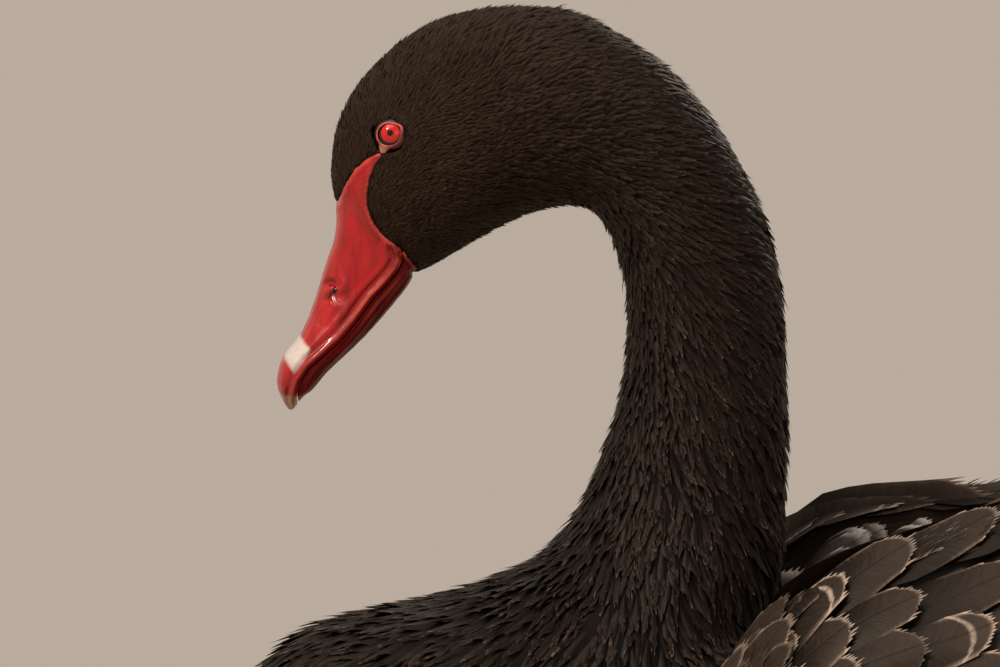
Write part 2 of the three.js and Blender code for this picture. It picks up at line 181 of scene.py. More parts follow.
def smoothstep(value, low, high):
    t = np.clip((value - low) / (high - low), 0, 1)
    return t * t * (3 - 2 * t)


print("halfway up a smooth step:", smoothstep(0.5, 0, 1))

# %% [markdown]
# ## Camera, light and ground
#
# The photograph looks almost level at the bird's left side, from a little ahead of it, with a long lens.
# Head and neck fill the frame, so the camera aims between the bill and the neck.

# %% Camera
PIXEL = 0.32 * MM  # what one pixel of the photograph spans at the head
AZIMUTH, ELEVATION, DISTANCE = math.radians(-2.0), math.radians(4.5), 3.0
AIM = Vector((-206.4, 0, 284.6)) * MM
SENSOR, PHOTO_WIDTH = 36.0, 1000  # millimetres and pixels


def add_camera():
    back = Vector((
        math.sin(AZIMUTH) * math.cos(ELEVATION),
        -math.cos(AZIMUTH) * math.cos(ELEVATION),
        math.sin(ELEVATION),
    ))
    bpy.ops.object.camera_add(location=AIM + back * DISTANCE)
    camera = bpy.context.object
    camera.rotation_euler = (-back).to_track_quat("-Z", "Y").to_euler()
    camera.data.sensor_width = SENSOR
    camera.data.lens = SENSOR * DISTANCE / (PHOTO_WIDTH * PIXEL)
    camera.data.clip_start, camera.data.clip_end = 0.05, 60
    bpy.context.scene.camera = camera
    return camera


camera = add_camera()
print("lens", round(camera.data.lens, 1), "mm")

# %% [markdown]
# ## Writing finishes as arithmetic
#
# A finish is a graph of shader nodes. Each socket is wrapped in a small class, so that masks and mixes
# are written as plain expressions, and every node is still an ordinary one in the file.

# %% Values
class Value:
    """A number that varies over a surface: arithmetic on it adds Math nodes."""

    def __init__(self, finish, socket):
        self.finish, self.socket = finish, socket

    def math(self, operation, *others):
        values = {i: v for i, v in enumerate((self, *others))}
        return self.finish.node("ShaderNodeMath", {"operation": operation}, values)

    def __add__(self, other):
        return self.math("ADD", other)

    __radd__ = __add__

    def __sub__(self, other):
        return self.math("SUBTRACT", other)

    def __rsub__(self, other):
        return self.finish.node("ShaderNodeMath", {"operation": "SUBTRACT"}, {0: other, 1: self})

    def __mul__(self, other):
        return self.math("MULTIPLY", other)

    __rmul__ = __mul__

    def __pow__(self, other):
        return self.math("POWER", other)

    def ramp(self, low, high):
        """0 below low, 1 above high, smooth between."""
        settings = {"interpolation_type": "SMOOTHSTEP"}
        values = {"Value": self, "From Min": low, "From Max": high}
        return self.finish.node("ShaderNodeMapRange", settings, values)


# %% [markdown]
# Real surfaces vary in a few ways only: with the place, with the part of a feather, and by chance. The
# finish class has a short method for each of these, and one method, node, that makes every node. It takes
# the node's type, its settings, and the values or links of its sockets.

# %% Finishes
class Finish:
    """A material whose nodes are all made by one method."""

    def __init__(self, name, **constants):
        self.material = bpy.data.materials.new(name)
        self.material.use_nodes = True
        self.tree = self.material.node_tree
        self.shader = self.tree.nodes["Principled BSDF"]
        self.set(**constants)

    def plug(self, socket, value):
        if isinstance(value, Value):
            self.tree.links.new(value.socket, socket)
        elif hasattr(socket.default_value, "__len__") and len(value) != len(socket.default_value):
            socket.default_value = (*value, 1.0)
        else:
            socket.default_value = value

    def node(self, kind, settings=None, values=None, output=0):
        made = self.tree.nodes.new(kind)
        for key, value in (settings or {}).items():
            setattr(made, key, value)
        for key, value in (values or {}).items():
            self.plug(made.inputs[key], value)
        return Value(self, made.outputs[output])

    def place(self):
        return self.node("ShaderNodeTexCoord", output="Object")

    def axes(self):
        split = self.node("ShaderNodeSeparateXYZ", values={0: self.place()})
        return [Value(self, split.socket.node.outputs[i]) for i in range(3)]

    def attribute(self, name):
        return self.node("ShaderNodeAttribute", {"attribute_name": name}, output="Fac")

    def noise(self, scale, detail=3.0, vector=None, roughness=0.55):
        vector = vector or self.place()
        values = {"Vector": vector, "Scale": scale, "Detail": detail, "Roughness": roughness}
        return self.node("ShaderNodeTexNoise", values=values)

    def stretched(self, vector, scale, turn=(0, 0, 0)):
        values = {"Vector": vector, "Scale": scale, "Rotation": turn}
        return self.node("ShaderNodeMapping", values=values)

    def mix(self, amount, first, second):
        """Mixes two colours. The sockets' numbers are those that the node uses for colours."""
        values = {0: amount, 6: first, 7: second}
        return self.node("ShaderNodeMix", {"data_type": "RGBA"}, values, output=2)

    def bump(self, height, depth, strength):
        values = {"Height": height, "Distance": depth, "Strength": strength}
        return self.node("ShaderNodeBump", values=values)

    def set(self, **sockets):
        """Plugs values into the shader's sockets, named in small letters with underscores."""
        for key, value in sockets.items():
            label = key.replace("_", " ").title().replace("Ior", "IOR")
            self.plug(self.shader.inputs[label], value)
        return self.material


print(len(bpy.data.materials), "materials in the file before the first finish")

# %% [markdown]
# ## Ground, haze and lamps
#
# The bird rests on a plain pale floor. The floor fades out into a haze of the same warm grey, which is
# all that the long lens sees behind the bird. Large soft lamps give feathers their low sheen, and a
# smaller one puts a light in the eye and wet lights on the bill.

# %% Stage
HAZE = (0.49, 0.41, 0.34)
FLOOR_RADIUS, FLOOR_DROP = 1.4, 0.2 * MM
FADE_FROM, FADE_TO = 0.75, 1.35  # distances from the bird, in metres


def add_stage():
    pale = Finish("pale_ground", roughness=0.9)
    x, y, _ = pale.axes()
    away = (x * x + y * y) ** 0.5
    shade = pale.mix(pale.noise(3.0).ramp(0.3, 0.7), (0.40, 0.335, 0.275), (0.43, 0.36, 0.295))
    material = pale.set(base_color=shade, alpha=1 - away.ramp(FADE_FROM, FADE_TO))
    bpy.ops.mesh.primitive_circle_add(
        vertices=128, radius=FLOOR_RADIUS, fill_type="NGON", location=(0, 0, -FLOOR_DROP),
    )
    floor = bpy.context.object
    floor.name = "floor"
    floor.data.materials.append(material)
    world = bpy.data.worlds.new("haze")
    world.use_nodes = True
    world.node_tree.nodes["Background"].inputs["Color"].default_value = (*HAZE, 1)
    bpy.context.scene.world = world
    bpy.context.scene.view_settings.view_transform = "Standard"


def add_lamp(name, place, aim, size, power, colour):
    bpy.ops.object.light_add(type="AREA", location=place)
    lamp = bpy.context.object
    lamp.name = name
    lamp.rotation_euler = (Vector(aim) - Vector(place)).to_track_quat("-Z", "Y").to_euler()
    lamp.data.shape, lamp.data.size = "DISK", size
    lamp.data.energy, lamp.data.color = power, colour


add_stage()
add_lamp("sky", (-0.7, -0.5, 2.6), (-0.1, 0, 0.2), 2.2, 30, (1.0, 0.95, 0.88))
add_lamp("sun", (-1.6, -1.5, 2.2), (-0.2, 0, 0.3), 0.5, 50, (1.0, 0.92, 0.82))
add_lamp("fill", (1.6, -2.4, 1.0), (0, 0, 0.2), 1.6, 8, (0.95, 0.96, 1.0))
add_lamp("rim", (0.9, 1.7, 1.7), (-0.1, 0, 0.3), 1.2, 18, (1.0, 0.93, 0.84))

# %% [markdown]
# ## One skin under the feathers
#
# The flesh comes in named lengths with hairline gaps. Copies of them are joined, swelled by half a gap
# and remeshed, so that one closed skin runs from the face to the tail. It then sinks by the depth of the
# coat, which is under a millimetre on the face and several on the back.

# %% The body as one surface
FLESH = ["head", "neck_arch", "neck_middle", "neck_base", "trunk"]
BILL = ["upper_bill", "lower_bill"]
HALF_GAP = 0.16 * MM
FINE, COARSE = 2.4 * MM, 6.0 * MM  # voxels of the skin that is seen and of the one that guides feathers
STUMP_RADII, STUMP_INSIDE = (52 * MM, 43 * MM, 27 * MM), 6 * MM


def body_copy(name, voxel, rounds):
    """The flesh as one closed surface that runs on under the bill, with a stump for the tail's root."""
    body = copy_of(FLESH + BILL, name)
    low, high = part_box("tail")
    bpy.ops.mesh.primitive_uv_sphere_add(
        segments=32, ring_count=16, radius=1, scale=STUMP_RADII,
        location=(low.x + STUMP_INSIDE, 0, (low.z + high.z) / 2),
    )
    stump = bpy.context.object
    bpy.ops.object.transform_apply(location=True, rotation=False, scale=True)
    only(stump)
    body.select_set(True)
    bpy.context.view_layer.objects.active = body
    bpy.ops.object.join()
    remesh(body, voxel, rounds, HALF_GAP)
    return body


skin = body_copy("skin", FINE, 4)
guide = body_copy("guide", COARSE, 6)
print("skin", len(skin.data.vertices), "corners, guide", len(guide.data.vertices))

# %% [markdown]
# A swan's nostril is open from side to side. The skin runs on inside the bill and would fill that hole,
# so it is cut off by a sloping plane and closed again. The same plane would cut the trunk too, so only
# the corners near the bill are selected.

# %% Cutting the skin off inside the bill
CUT_BEFORE, CUT_OVER = -225 * MM, 250 * MM  # the cut acts ahead of the first and above the second
CUT_AT, CUT_AWAY = Vector((-256, 0, 306)) * MM, (-0.3, 0, -0.95)

only(skin)
bpy.ops.object.mode_set(mode="EDIT")
bpy.ops.mesh.select_mode(type="VERT")
bpy.ops.mesh.select_all(action="DESELECT")
bpy.ops.object.mode_set(mode="OBJECT")
for corner in skin.data.vertices:
    corner.select = corner.co.x < CUT_BEFORE and corner.co.z > CUT_OVER
bpy.ops.object.mode_set(mode="EDIT")
bpy.ops.mesh.bisect(plane_co=CUT_AT, plane_no=CUT_AWAY, use_fill=True, clear_outer=True)
bpy.ops.object.mode_set(mode="OBJECT")
print("skin after the cut", len(skin.data.vertices), "corners")

# %% [markdown]
# ## The lie of the coat
#
# Feathers point away from the bill along the shortest way over the skin. So a walk from the edge of the
# bill measures how far each place is, and the lie is the direction in which that distance grows. On the
# trunk it is turned to the rear, as real feathers are. The distance also sets their size.

# %% Distance from the bill
def tree_of_nodes(nodes):
    """A tree that finds the nearest place on nodes. Their copy is only needed to make it."""
    copy = copy_of(nodes, "for_tree")
    tree = tree_of(copy)
    bpy.data.objects.remove(copy)
    return tree


bill_tree, flesh_tree = tree_of_nodes(BILL), tree_of_nodes(FLESH)


def past_bill(points):
    """How much nearer the flesh than the bill each point lies: below 0 on the bill, 0 at its edge."""
    near = lambda tree: np.array([tree.find_nearest(Vector(p))[3] for p in points])
    return near(bill_tree) - near(flesh_tree)


def neighbours(mesh):
    """Pairs of corners joined by an edge or across a face."""
    pairs = [tuple(e.vertices) for e in mesh.edges]
    for face in mesh.polygons:
        ring = face.vertices
        if len(ring) == 4:
            pairs += [(ring[0], ring[2]), (ring[1], ring[3])]
    pairs = np.array(pairs)
    return np.vstack([pairs, pairs[:, ::-1]])


def walk_from(sources, places, pairs):
    """Shortest way over the surface from the sources to every corner."""
    steps = np.linalg.norm(places[pairs[:, 0]] - places[pairs[:, 1]], axis=1)
    ways = [[] for _ in places]
    for (a, b), step in zip(pairs.tolist(), steps.tolist()):
        ways[a].append((b, step))
    far = [math.inf] * len(places)
    heap = [(0.0, i) for i in sources]
    for _, i in heap:
        far[i] = 0.0
    heapq.heapify(heap)
    while heap:
        so_far, at = heapq.heappop(heap)
        if so_far > far[at]:
            continue
        for b, step in ways[at]:
            if so_far + step < far[b]:
                far[b] = so_far + step
                heapq.heappush(heap, (far[b], b))
    return np.array(far)


places, facing = corners(guide), normals(guide)
pairs = neighbours(guide.data)
AT_BILL = 0.3 * COARSE  # corners that are this little past the bill's edge start the walk
distance = walk_from(np.flatnonzero(past_bill(places) < AT_BILL).tolist(), places, pairs)
distance[np.isinf(distance)] = 0
print("farthest feather", round(float(distance.max()), 3), "m from the bill")

# %% [markdown]
# The slope of that distance is found at each corner from its neighbours. It is noisy, so it is averaged
# with its neighbours a few times, and pressed flat onto the skin each time.

# %% Lie of the coat
REARWARD = 2.0  # how strongly the trunk's feathers turn to the rear
AVERAGINGS = 14


def onto_surface(directions, surface_normals):
    along = np.sum(directions * surface_normals, axis=1, keepdims=True)
    return unit(directions - along * surface_normals)


step = places[pairs[:, 1]] - places[pairs[:, 0]]
rise = (distance[pairs[:, 1]] - distance[pairs[:, 0]]) / np.sum(step * step, axis=1)
lie = np.zeros_like(places)
np.add.at(lie, pairs[:, 0], step * rise[:, None])
rear = REARWARD * smoothstep(places[:, 0], -0.17, 0.02) * smoothstep(-places[:, 2], -0.23, -0.2)
lie = onto_surface(unit(lie) + rear[:, None] * np.array([1.0, 0, 0]), facing)
for _ in range(AVERAGINGS):
    spread = lie.copy()
    np.add.at(spread, pairs[:, 0], lie[pairs[:, 1]])
    lie = onto_surface(spread, facing)
print("mean lie of the coat", lie.mean(axis=0).round(2))

# %% [markdown]
# The fine skin reads both off the four nearest corners of the guide, the nearer ones counting more. Then
# it sinks by the coat's depth, and a little more where it lies inside the bill.

# %% The same fields on the fine skin
guide_tree = KDTree(len(places))
for i, p in enumerate(places):
    guide_tree.insert(p, i)
guide_tree.balance()
NEAREST, SOFT_GAP = 4, 0.5 * MM


def fields_at(points):
    """Distance from the bill and lie of the coat at each point."""
    found = [guide_tree.find_n(p, NEAREST) for p in points]
    near = np.array([[i for _, i, _ in row] for row in found])
    gap = np.array([[d for _, _, d in row] for row in found])
    weight = 1 / (gap + SOFT_GAP)
    weight /= weight.sum(axis=1, keepdims=True)
    return (distance[near] * weight).sum(1), unit((lie[near] * weight[:, :, None]).sum(1))


skin_far, skin_lie = fields_at(corners(skin))

# How deep the coat is, by distance from the bill, both in metres.
COAT_AT = [0, 0.03, 0.09, 0.2, 0.32, 0.5, 0.8]
COAT_DEPTH = np.array([0.15, 0.8, 1.1, 2.0, 3.4, 5.5, 6.5]) * MM
BILL_DEPTH, OFF_FLOOR = 2.0 * MM, 1.0 * MM
surface = corners(skin)
in_bill = 1 - smoothstep(past_bill(surface), -1.8 * MM, 0.2 * MM)
depth = ramp(skin_far, COAT_AT, COAT_DEPTH) + BILL_DEPTH * in_bill
sunk = surface - normals(skin) * depth[:, None]
sunk[:, 2] = np.maximum(sunk[:, 2], OFF_FLOOR)
move_corners(skin, sunk)
skin_tree = tree_of(skin)
print("coat depth", [round(float(v) * 1000, 1) for v in COAT_DEPTH], "mm")

# %% [markdown]
# A baked finish needs every place of the skin at its own spot on a flat map. A line runs through the
# middle of the neck and the trunk. The distance along it and the angle round it give the two coordinates.

# %% An unwrap of the skin's own shape
SPINE = np.array([
    (-247, 315), (-245, 330), (-235, 343), (-218, 352), (-198, 356), (-178, 355), (-162, 345), (-150, 328),
    (-143, 305), (-140, 285), (-141, 262), (-145, 238), (-152, 212), (-165, 185), (-175, 155), (-160, 125),
    (-100, 105), (0, 98), (120, 96), (230, 100), (290, 100),
]) * MM
SPINE_RUN = np.concatenate([[0], np.cumsum(np.linalg.norm(np.diff(SPINE, axis=0), axis=1))])
RUN = np.linspace(0, SPINE_RUN[-1], 300)
SPINE_LINE = np.stack([np.interp(RUN, SPINE_RUN, SPINE[:, i]) for i in range(2)], axis=1)
SPINE_WAY = unit(np.gradient(SPINE_LINE, axis=0))
MAP_EDGE, MAP_SPAN = 0.02, 0.96  # the map keeps clear of the picture's edges
AT_ONCE = 4000  # points compared with the line together


def unwrap(points):
    """Where each point falls when the skin is cut along the belly and laid flat, from 0 to 1."""
    points = np.asarray(points)
    flat = points[:, [0, 2]]
    nearest = np.concatenate([
        np.argmin(((rows[:, None, :] - SPINE_LINE[None]) ** 2).sum(2), axis=1)
        for rows in np.array_split(flat, max(1, len(flat) // AT_ONCE))
    ])
    way = SPINE_WAY[nearest]
    upward = np.stack([-way[:, 1], way[:, 0]], axis=1)
    height = ((flat - SPINE_LINE[nearest]) * upward).sum(1)
    turn = np.arctan2(points[:, 1], height) / (2 * math.pi)
    return np.stack([MAP_EDGE + MAP_SPAN * RUN[nearest] / RUN[-1], 0.5 + MAP_SPAN * turn], axis=1)


def map_for_baking(piece, corner_uv):
    """Gives a piece its OFBake map from one place for each corner."""
    mesh = piece.data
    loops = np.empty(len(mesh.loops), int)
    mesh.loops.foreach_get("vertex_index", loops)
    layer = mesh.uv_layers.new(name="OFBake")
    layer.data.foreach_set("uv", np.asarray(corner_uv, float)[loops].ravel())


map_for_baking(skin, unwrap(corners(skin)))
print("the line through neck and trunk is", round(float(SPINE_RUN[-1]), 3), "m long")

# %% [markdown]
# ## Feathers
#
# One blank of each kind is modelled from a grid: its rows are drawn in to the outline of a vane and its
# last row is split into points, as barbs part at the tip. Each blank is then copied thousands of times.
# Every copy is bent along the skin from its root and lifts a little towards its tip.

# %% Feather blanks
CROWDING = 1.45  # draws the rows of a blank together towards its tip
NEAR_ENOUGH = 1e-4


def feather_blank(name, columns, rows, outline, rounding):
    """A vane from 0 to 1 along and -1 to 1 across. outline draws it in, rounding curves its end back."""
    bpy.ops.mesh.primitive_grid_add(x_subdivisions=columns, y_subdivisions=rows, size=2)
    blank = bpy.context.object
    blank.name = name
    mesh = blank.data
    # The inner edges of the last row that run lengthwise are split, so that its strips come apart.
    edge_on = lambda value: abs(value - 1) < NEAR_ENOUGH
    for edge in mesh.edges:
        a, b = (mesh.vertices[i].co for i in edge.vertices)
        lengthwise = abs(a.x) < 0.999 and abs(a.x - b.x) < NEAR_ENOUGH
        edge.select = lengthwise and edge_on(max(a.y, b.y))
    for face in mesh.polygons:
        face.select = False
    bpy.ops.object.mode_set(mode="EDIT")
    bpy.ops.mesh.select_mode(type="EDGE")
    bpy.ops.mesh.edge_split(type="EDGE")
    bpy.ops.mesh.select_all(action="DESELECT")
    bpy.ops.object.mode_set(mode="OBJECT")
    # The end of each strip is drawn together into one point.
    for edge in mesh.edges:
        a, b = (mesh.vertices[i].co for i in edge.vertices)
        edge.select = edge_on(a.y) and edge_on(b.y)
    bpy.ops.object.mode_set(mode="EDIT")
    bpy.ops.mesh.merge(type="COLLAPSE")
    bpy.ops.object.mode_set(mode="OBJECT")
    flat = corners(blank)
    across, row = flat[:, 0], 1 - ((1 - flat[:, 1]) / 2) ** CROWDING
    made = {
        "across": across,
        "row": row,
        "along": row - rounding * across ** 2 * row ** 2,
        "side": across * np.array([outline(t) for t in row]),
        "faces": [list(p.vertices) for p in mesh.polygons],
    }
    made["triangles"] = sum(len(face) - 2 for face in made["faces"])
    bpy.data.objects.remove(blank)
    print(name, len(across), "corners,", made["triangles"], "triangles")
    return made


def vane(spread, narrowing):
    """Outline that widens from the root by spread and is narrowed towards the tip."""
    return lambda t: min(0.4 + spread * t, 1.0) * (1 - narrowing * smoothstep(t, 0.5, 1.05))


BLANKS = {
    "fine": feather_blank("fine", 3, 4, vane(1.6, 0.5), 0.16),
    "leaf": feather_blank("leaf", 4, 6, vane(1.7, 0.68), 0.3),
    "oval": feather_blank("oval", 6, 7, vane(1.5, 0.25), 0.2),
    "frond": feather_blank("frond", 16, 10, vane(1.6, 0.18), 0.17),
}

# %% [markdown]
# Feathers stand at even distances that suit their size. To get that, many points are tried by chance, and
# each that falls too near an earlier one is dropped. A grid of cells as wide as the room makes this fast.

# %% Sowing roots
def faces_of(piece):
    mesh = piece.data
    mesh.calc_loop_triangles()
    flat = np.empty(len(mesh.loop_triangles) * 3, int)
    mesh.loop_triangles.foreach_get("vertices", flat)
    return flat.reshape(-1, 3)


def thin_out(points, room):
    """Indices of points that stand at least their room apart, in the order given."""
    cell = float(room.max())
    grid, kept = {}, []
    keys = np.floor(points / cell).astype(int).tolist()
    reach = [(a, b, c) for a in (-1, 0, 1) for b in (-1, 0, 1) for c in (-1, 0, 1)]
    rows, rooms = points.tolist(), (room ** 2).tolist()
    for i, (kx, ky, kz) in enumerate(keys):
        x, y, z = rows[i]
        need = rooms[i]
        free = True
        for a, b, c in reach:
            for ox, oy, oz in grid.get((kx + a, ky + b, kz + c), ()):
                if (x - ox) ** 2 + (y - oy) ** 2 + (z - oz) ** 2 < need:
                    free = False
                    break
            if not free:
                break
        if free:
            grid.setdefault((kx, ky, kz), []).append((x, y, z))
            kept.append(i)
    return kept


# Length and width of a feather by distance from the bill.
SIZE_AT = np.array([0, 0.015, 0.04, 0.08, 0.12, 0.17, 0.22, 0.28, 0.34, 0.42, 0.55, 0.7])
FEATHER_LENGTH = np.array([2.2, 2.8, 3.6, 5.6, 9.5, 13.5, 17, 18.5, 20, 24, 31, 36]) * MM
FEATHER_WIDTH = np.array([0.75, 0.9, 1.15, 1.9, 3.2, 4.6, 5.6, 6.4, 7.4, 10.5, 17, 22]) * MM
# Room between roots, as a share of the mean of length and width.
ROOM = np.array([0.42, 0.41, 0.39, 0.35, 0.32, 0.31, 0.32, 0.33, 0.33, 0.33, 0.33, 0.33])
CANDIDATES = 3.2  # points tried for each that finds room
BANDS = [0, 0.03, 0.07, 0.14, 0.24, 0.34, 0.5, 2.0]

skin_faces = faces_of(skin)
skin_corners, skin_normals = corners(skin), normals(skin)
first, second, third = (skin_corners[skin_faces[:, i]] for i in range(3))
skin_areas = 0.5 * np.linalg.norm(np.cross(second - first, third - first), axis=1)
face_far = skin_far[skin_faces].mean(1)
face_size = ramp(face_far, SIZE_AT, FEATHER_LENGTH) * ramp(face_far, SIZE_AT, FEATHER_WIDTH)
face_room = ramp(face_far, SIZE_AT, ROOM) * np.sqrt(face_size)
print("room between roots", (face_room.min() / MM).round(2), "to", (face_room.max() / MM).round(2), "mm")


def sow():
    """Roots over the whole skin: their place, normal, lie and distance from the bill."""
    found = []
    for low, high in zip(BANDS[:-1], BANDS[1:]):
        faces = np.flatnonzero((face_far >= low) & (face_far < high))
        crowd = skin_areas[faces] / face_room[faces] ** 2
        picks = rng.choice(faces, int(crowd.sum() * CANDIDATES), p=crowd / crowd.sum())
        share = np.sort(rng.random((len(picks), 2)), axis=1)
        weight = np.stack([share[:, 0], share[:, 1] - share[:, 0], 1 - share[:, 1]], axis=1)[:, :, None]
        points = (skin_corners[skin_faces[picks]] * weight).sum(1)
        kept = np.array(thin_out(points, face_room[picks]))
        chosen = skin_faces[picks[kept]]
        weight = weight[kept]
        facing = unit((skin_normals[chosen] * weight).sum(1))
        far = (skin_far[chosen] * weight[:, :, 0]).sum(1)
        found.append((points[kept], facing, unit((skin_lie[chosen] * weight).sum(1)), far))
    return [np.concatenate(rows) for rows in zip(*found)]


# %% [markdown]
# A feather bends with the skin. So a guide line is walked over the skin from each root, and a copy of the
# blank is bent along it. All copies are placed together as arrays and become one mesh for each piece,
# since thousands of single objects would be slow.

# %% Laying feathers along guide lines
def follow(tree, roots, facing, way, length, count=5):
    """Points and normals of the skin along each feather."""
    line, over = np.empty((len(roots), count, 3)), np.empty((len(roots), count, 3))
    stride = length / (count - 1)
    for i in range(len(roots)):
        at, up, go = Vector(roots[i]), Vector(facing[i]), Vector(way[i])
        for k in range(count):
            line[i, k], over[i, k] = at, up
            found = tree.find_nearest(at + go * stride[i])
            at, up = found[0], (up + found[1] * 1.5).normalized()
            go = (go - up * go.dot(up)).normalized()
    return line, over


def tread(rows, along):
    """Rows of guide points read off at places from 0 to 1."""
    spot = np.clip(along, 0, 1) * (rows.shape[1] - 1)
    low = np.minimum(spot.astype(int), rows.shape[1] - 2)
    share = (spot - low)[..., None]
    index = np.arange(len(rows))[:, None]
    return rows[index, low] * (1 - share) + rows[index, low + 1] * share


PATCH = 0.003  # size of one feather's patch on the OFBake map


def joined(name, blank, points, fields, patch):
    """One mesh of many copies of a blank. points is copies x corners x 3, patch the root's bake place."""
    copies, count = points.shape[:2]
    sizes = np.array([len(face) for face in blank["faces"]])
    flat = np.concatenate([np.array(face) for face in blank["faces"]])
    loops = (np.arange(copies)[:, None] * count + flat[None]).ravel()
    starts = np.concatenate([[0], np.cumsum(np.tile(sizes, copies))[:-1]])
    mesh = bpy.data.meshes.new(name)
    mesh.vertices.add(copies * count)
    mesh.vertices.foreach_set("co", points.ravel())
    mesh.loops.add(len(loops))
    mesh.loops.foreach_set("vertex_index", loops)
    mesh.polygons.add(len(starts))
    mesh.polygons.foreach_set("loop_start", starts)
    mesh.polygons.foreach_set("use_smooth", np.ones(len(starts), bool))
    mesh.update(calc_edges=True)
    piece = bpy.data.objects.new(name, mesh)
    bpy.context.collection.objects.link(piece)
    for key, rows in fields.items():
        layer = mesh.attributes.new(key, "FLOAT", "POINT")
        layer.data.foreach_set("value", np.broadcast_to(rows, (copies, count)).ravel().astype(float))
    spread = np.stack([blank["across"] / 2, blank["along"]], axis=1) * PATCH
    map_for_baking(piece, (patch[:, None, :] + spread[None]).reshape(-1, 2))
    print(name, copies, "feathers,", copies * blank["triangles"], "triangles")
    return piece


def lay(name, kind, guides, width, lift, tone, camber=0.9, roll=0.0, fray=0.07, curl=0.0, unruly=0.12):
    """Feathers along guide lines. lift is how high the tip stands over the guide, in metres."""
    line, over = guides
    blank, copies = BLANKS[kind], len(line)
    edge = 0.4 * np.abs(blank["across"]) * blank["row"] + (blank["row"] > 0.999)
    along = blank["along"][None] + edge[None] * rng.normal(0, fray, (copies, len(edge)))
    heading = line[:, -1] - line[:, 0]
    length = np.linalg.norm(heading, axis=1)[:, None]
    heading = heading / length
    base, up = tread(line, along), unit(tread(over, along))
    side = unit(np.cross(up, heading[:, None, :]))
    reach = blank["side"][None] * width[:, None] / 2
    tilt = roll + rng.normal(0, unruly, copies)[:, None]
    height = lift[:, None] * rng.normal(1, unruly, copies)[:, None] * np.clip(along, 0, 1.2) ** 1.2
    height += reach * tilt - camber * reach ** 2 / width[:, None]
    height -= curl * length * np.clip(along - 0.6, 0, 1) ** 2 * rng.uniform(0.2, 1.8, copies)[:, None]
    points = base + side * reach[..., None] + up * height[..., None]
    points += heading[:, None, :] * (np.clip(along - 1, 0, 1) * length)[..., None]
    points[..., 2] = np.maximum(points[..., 2], 0.4 * MM)
    shade = rng.random(copies)[:, None]
    fields = {"along": blank["row"], "across": blank["across"], "shade": shade, "tone": tone[:, None]}
    return joined(name, blank, points, fields, unwrap(line[:, 0]))


RUFFLE = 0.12  # how far single feathers turn from the lie of their neighbours
print("one feather's patch on the map is", PATCH, "wide")


def grow(name, kind, keep, tone, lift, **shape):
    """A coat of one kind of feather on the sown roots that keep picks."""
    at, up, way, far = (rows[keep] for rows in sown)
    count = len(at)
    length = ramp(far, SIZE_AT, FEATHER_LENGTH) * rng.uniform(0.82, 1.18, count)
    width = ramp(far, SIZE_AT, FEATHER_WIDTH) * rng.uniform(0.85, 1.15, count)
    swirl = np.array([noise.noise(Vector(p) * 55) + 0.5 * noise.noise(Vector(p) * 140) for p in at])
    way = unit(way + np.cross(up, way) * (0.5 * swirl + rng.normal(0, RUFFLE, count))[:, None])
    guides = follow(skin_tree, at, up, way, length)
    rise = lift * (ramp(far, COAT_AT, COAT_DEPTH) + 0.2 * MM) * (1 + 0.5 * swirl)
    return lay(name, kind, guides, width, rise, tone, **shape)

# %% [markdown]
# ## The finish of feathers
#
# Black swans are brown-black close up. Each vane is darkest at its root and along the middle, and its
# edge is paler. The darker root is in part painted shade, where roots show between overlapping feathers.
# The pale edge is real wear on the wings; on the neck and body it is mostly a painted highlight, glints
# of light on curled tips. Barbs are fine ridges that run from the shaft to the edge. The tone says how
# pale a feather's edge is, by wear and painted glint, from 0 on the face to 1 on the wings.

# %% Feather finishes
FACE_BROWN = (0.032, 0.0175, 0.011)


def feather_finish(name, dark, middle, pale, fringe, sides, gloss):
    """fringe is where the pale edge of the tip begins, sides how strong it is along the sides, 0 to 1."""
    coat = Finish(name, specular_ior_level=gloss, specular_tint=(1.0, 0.82, 0.68))
    along, across = coat.attribute("along"), coat.attribute("across")
    shade, tone = coat.attribute("shade"), coat.attribute("tone")
    off = across.math("ABSOLUTE")
    lengths = {0: off * 3.0 - along * 14.0, 1: across * 0.6, 2: shade * 31.0}
    barb = coat.node("ShaderNodeCombineXYZ", values=lengths)
    streak = coat.noise(2.6, 3.0, barb, 0.7)
    patchy = coat.noise(38.0, 3.0)
    # The pale tip and sides: real wear on the wings, mostly painted highlights (glints on curled tips) on
    # the neck and body.
    rim = along.ramp(fringe, 1.0) + off.ramp(0.72, 1.0) * along.ramp(0.35, 0.9) * sides
    second_arc = along.ramp(0.79, 0.82) - along.ramp(0.83, 0.86)
    rim = rim + second_arc * shade.ramp(0.91, 0.94) * sides
    wear_and_glint = rim * (0.25 + streak * 1.1) * (0.3 + tone) * (0.55 + shade * 0.6)
    wear_and_glint = (wear_and_glint + patchy.ramp(0.55, 0.8) * 0.07 + (shade ** 8) * 0.16).ramp(0.05, 1.05)
    # Darker towards the root: in part painted shade where the roots show between overlapping feathers.
    body = coat.mix((streak * 0.6 + along * 0.75).ramp(0.58, 1.1), dark, middle)
    body = coat.mix(1 - tone.ramp(0.0, 0.35), body, FACE_BROWN)
    hue = coat.mix(wear_and_glint, body, pale)
    shaft = off.ramp(0.02, 0.07)
    hue = coat.mix((1 - shaft) * 0.45, hue, dark)
    ridge = streak * 0.7 + (1 - shaft) * 0.4
    rough = 0.36 + wear_and_glint * 0.3 + streak * 0.12
    return coat.set(base_color=hue, roughness=rough, normal=coat.bump(ridge, 0.3 * MM, 0.6))


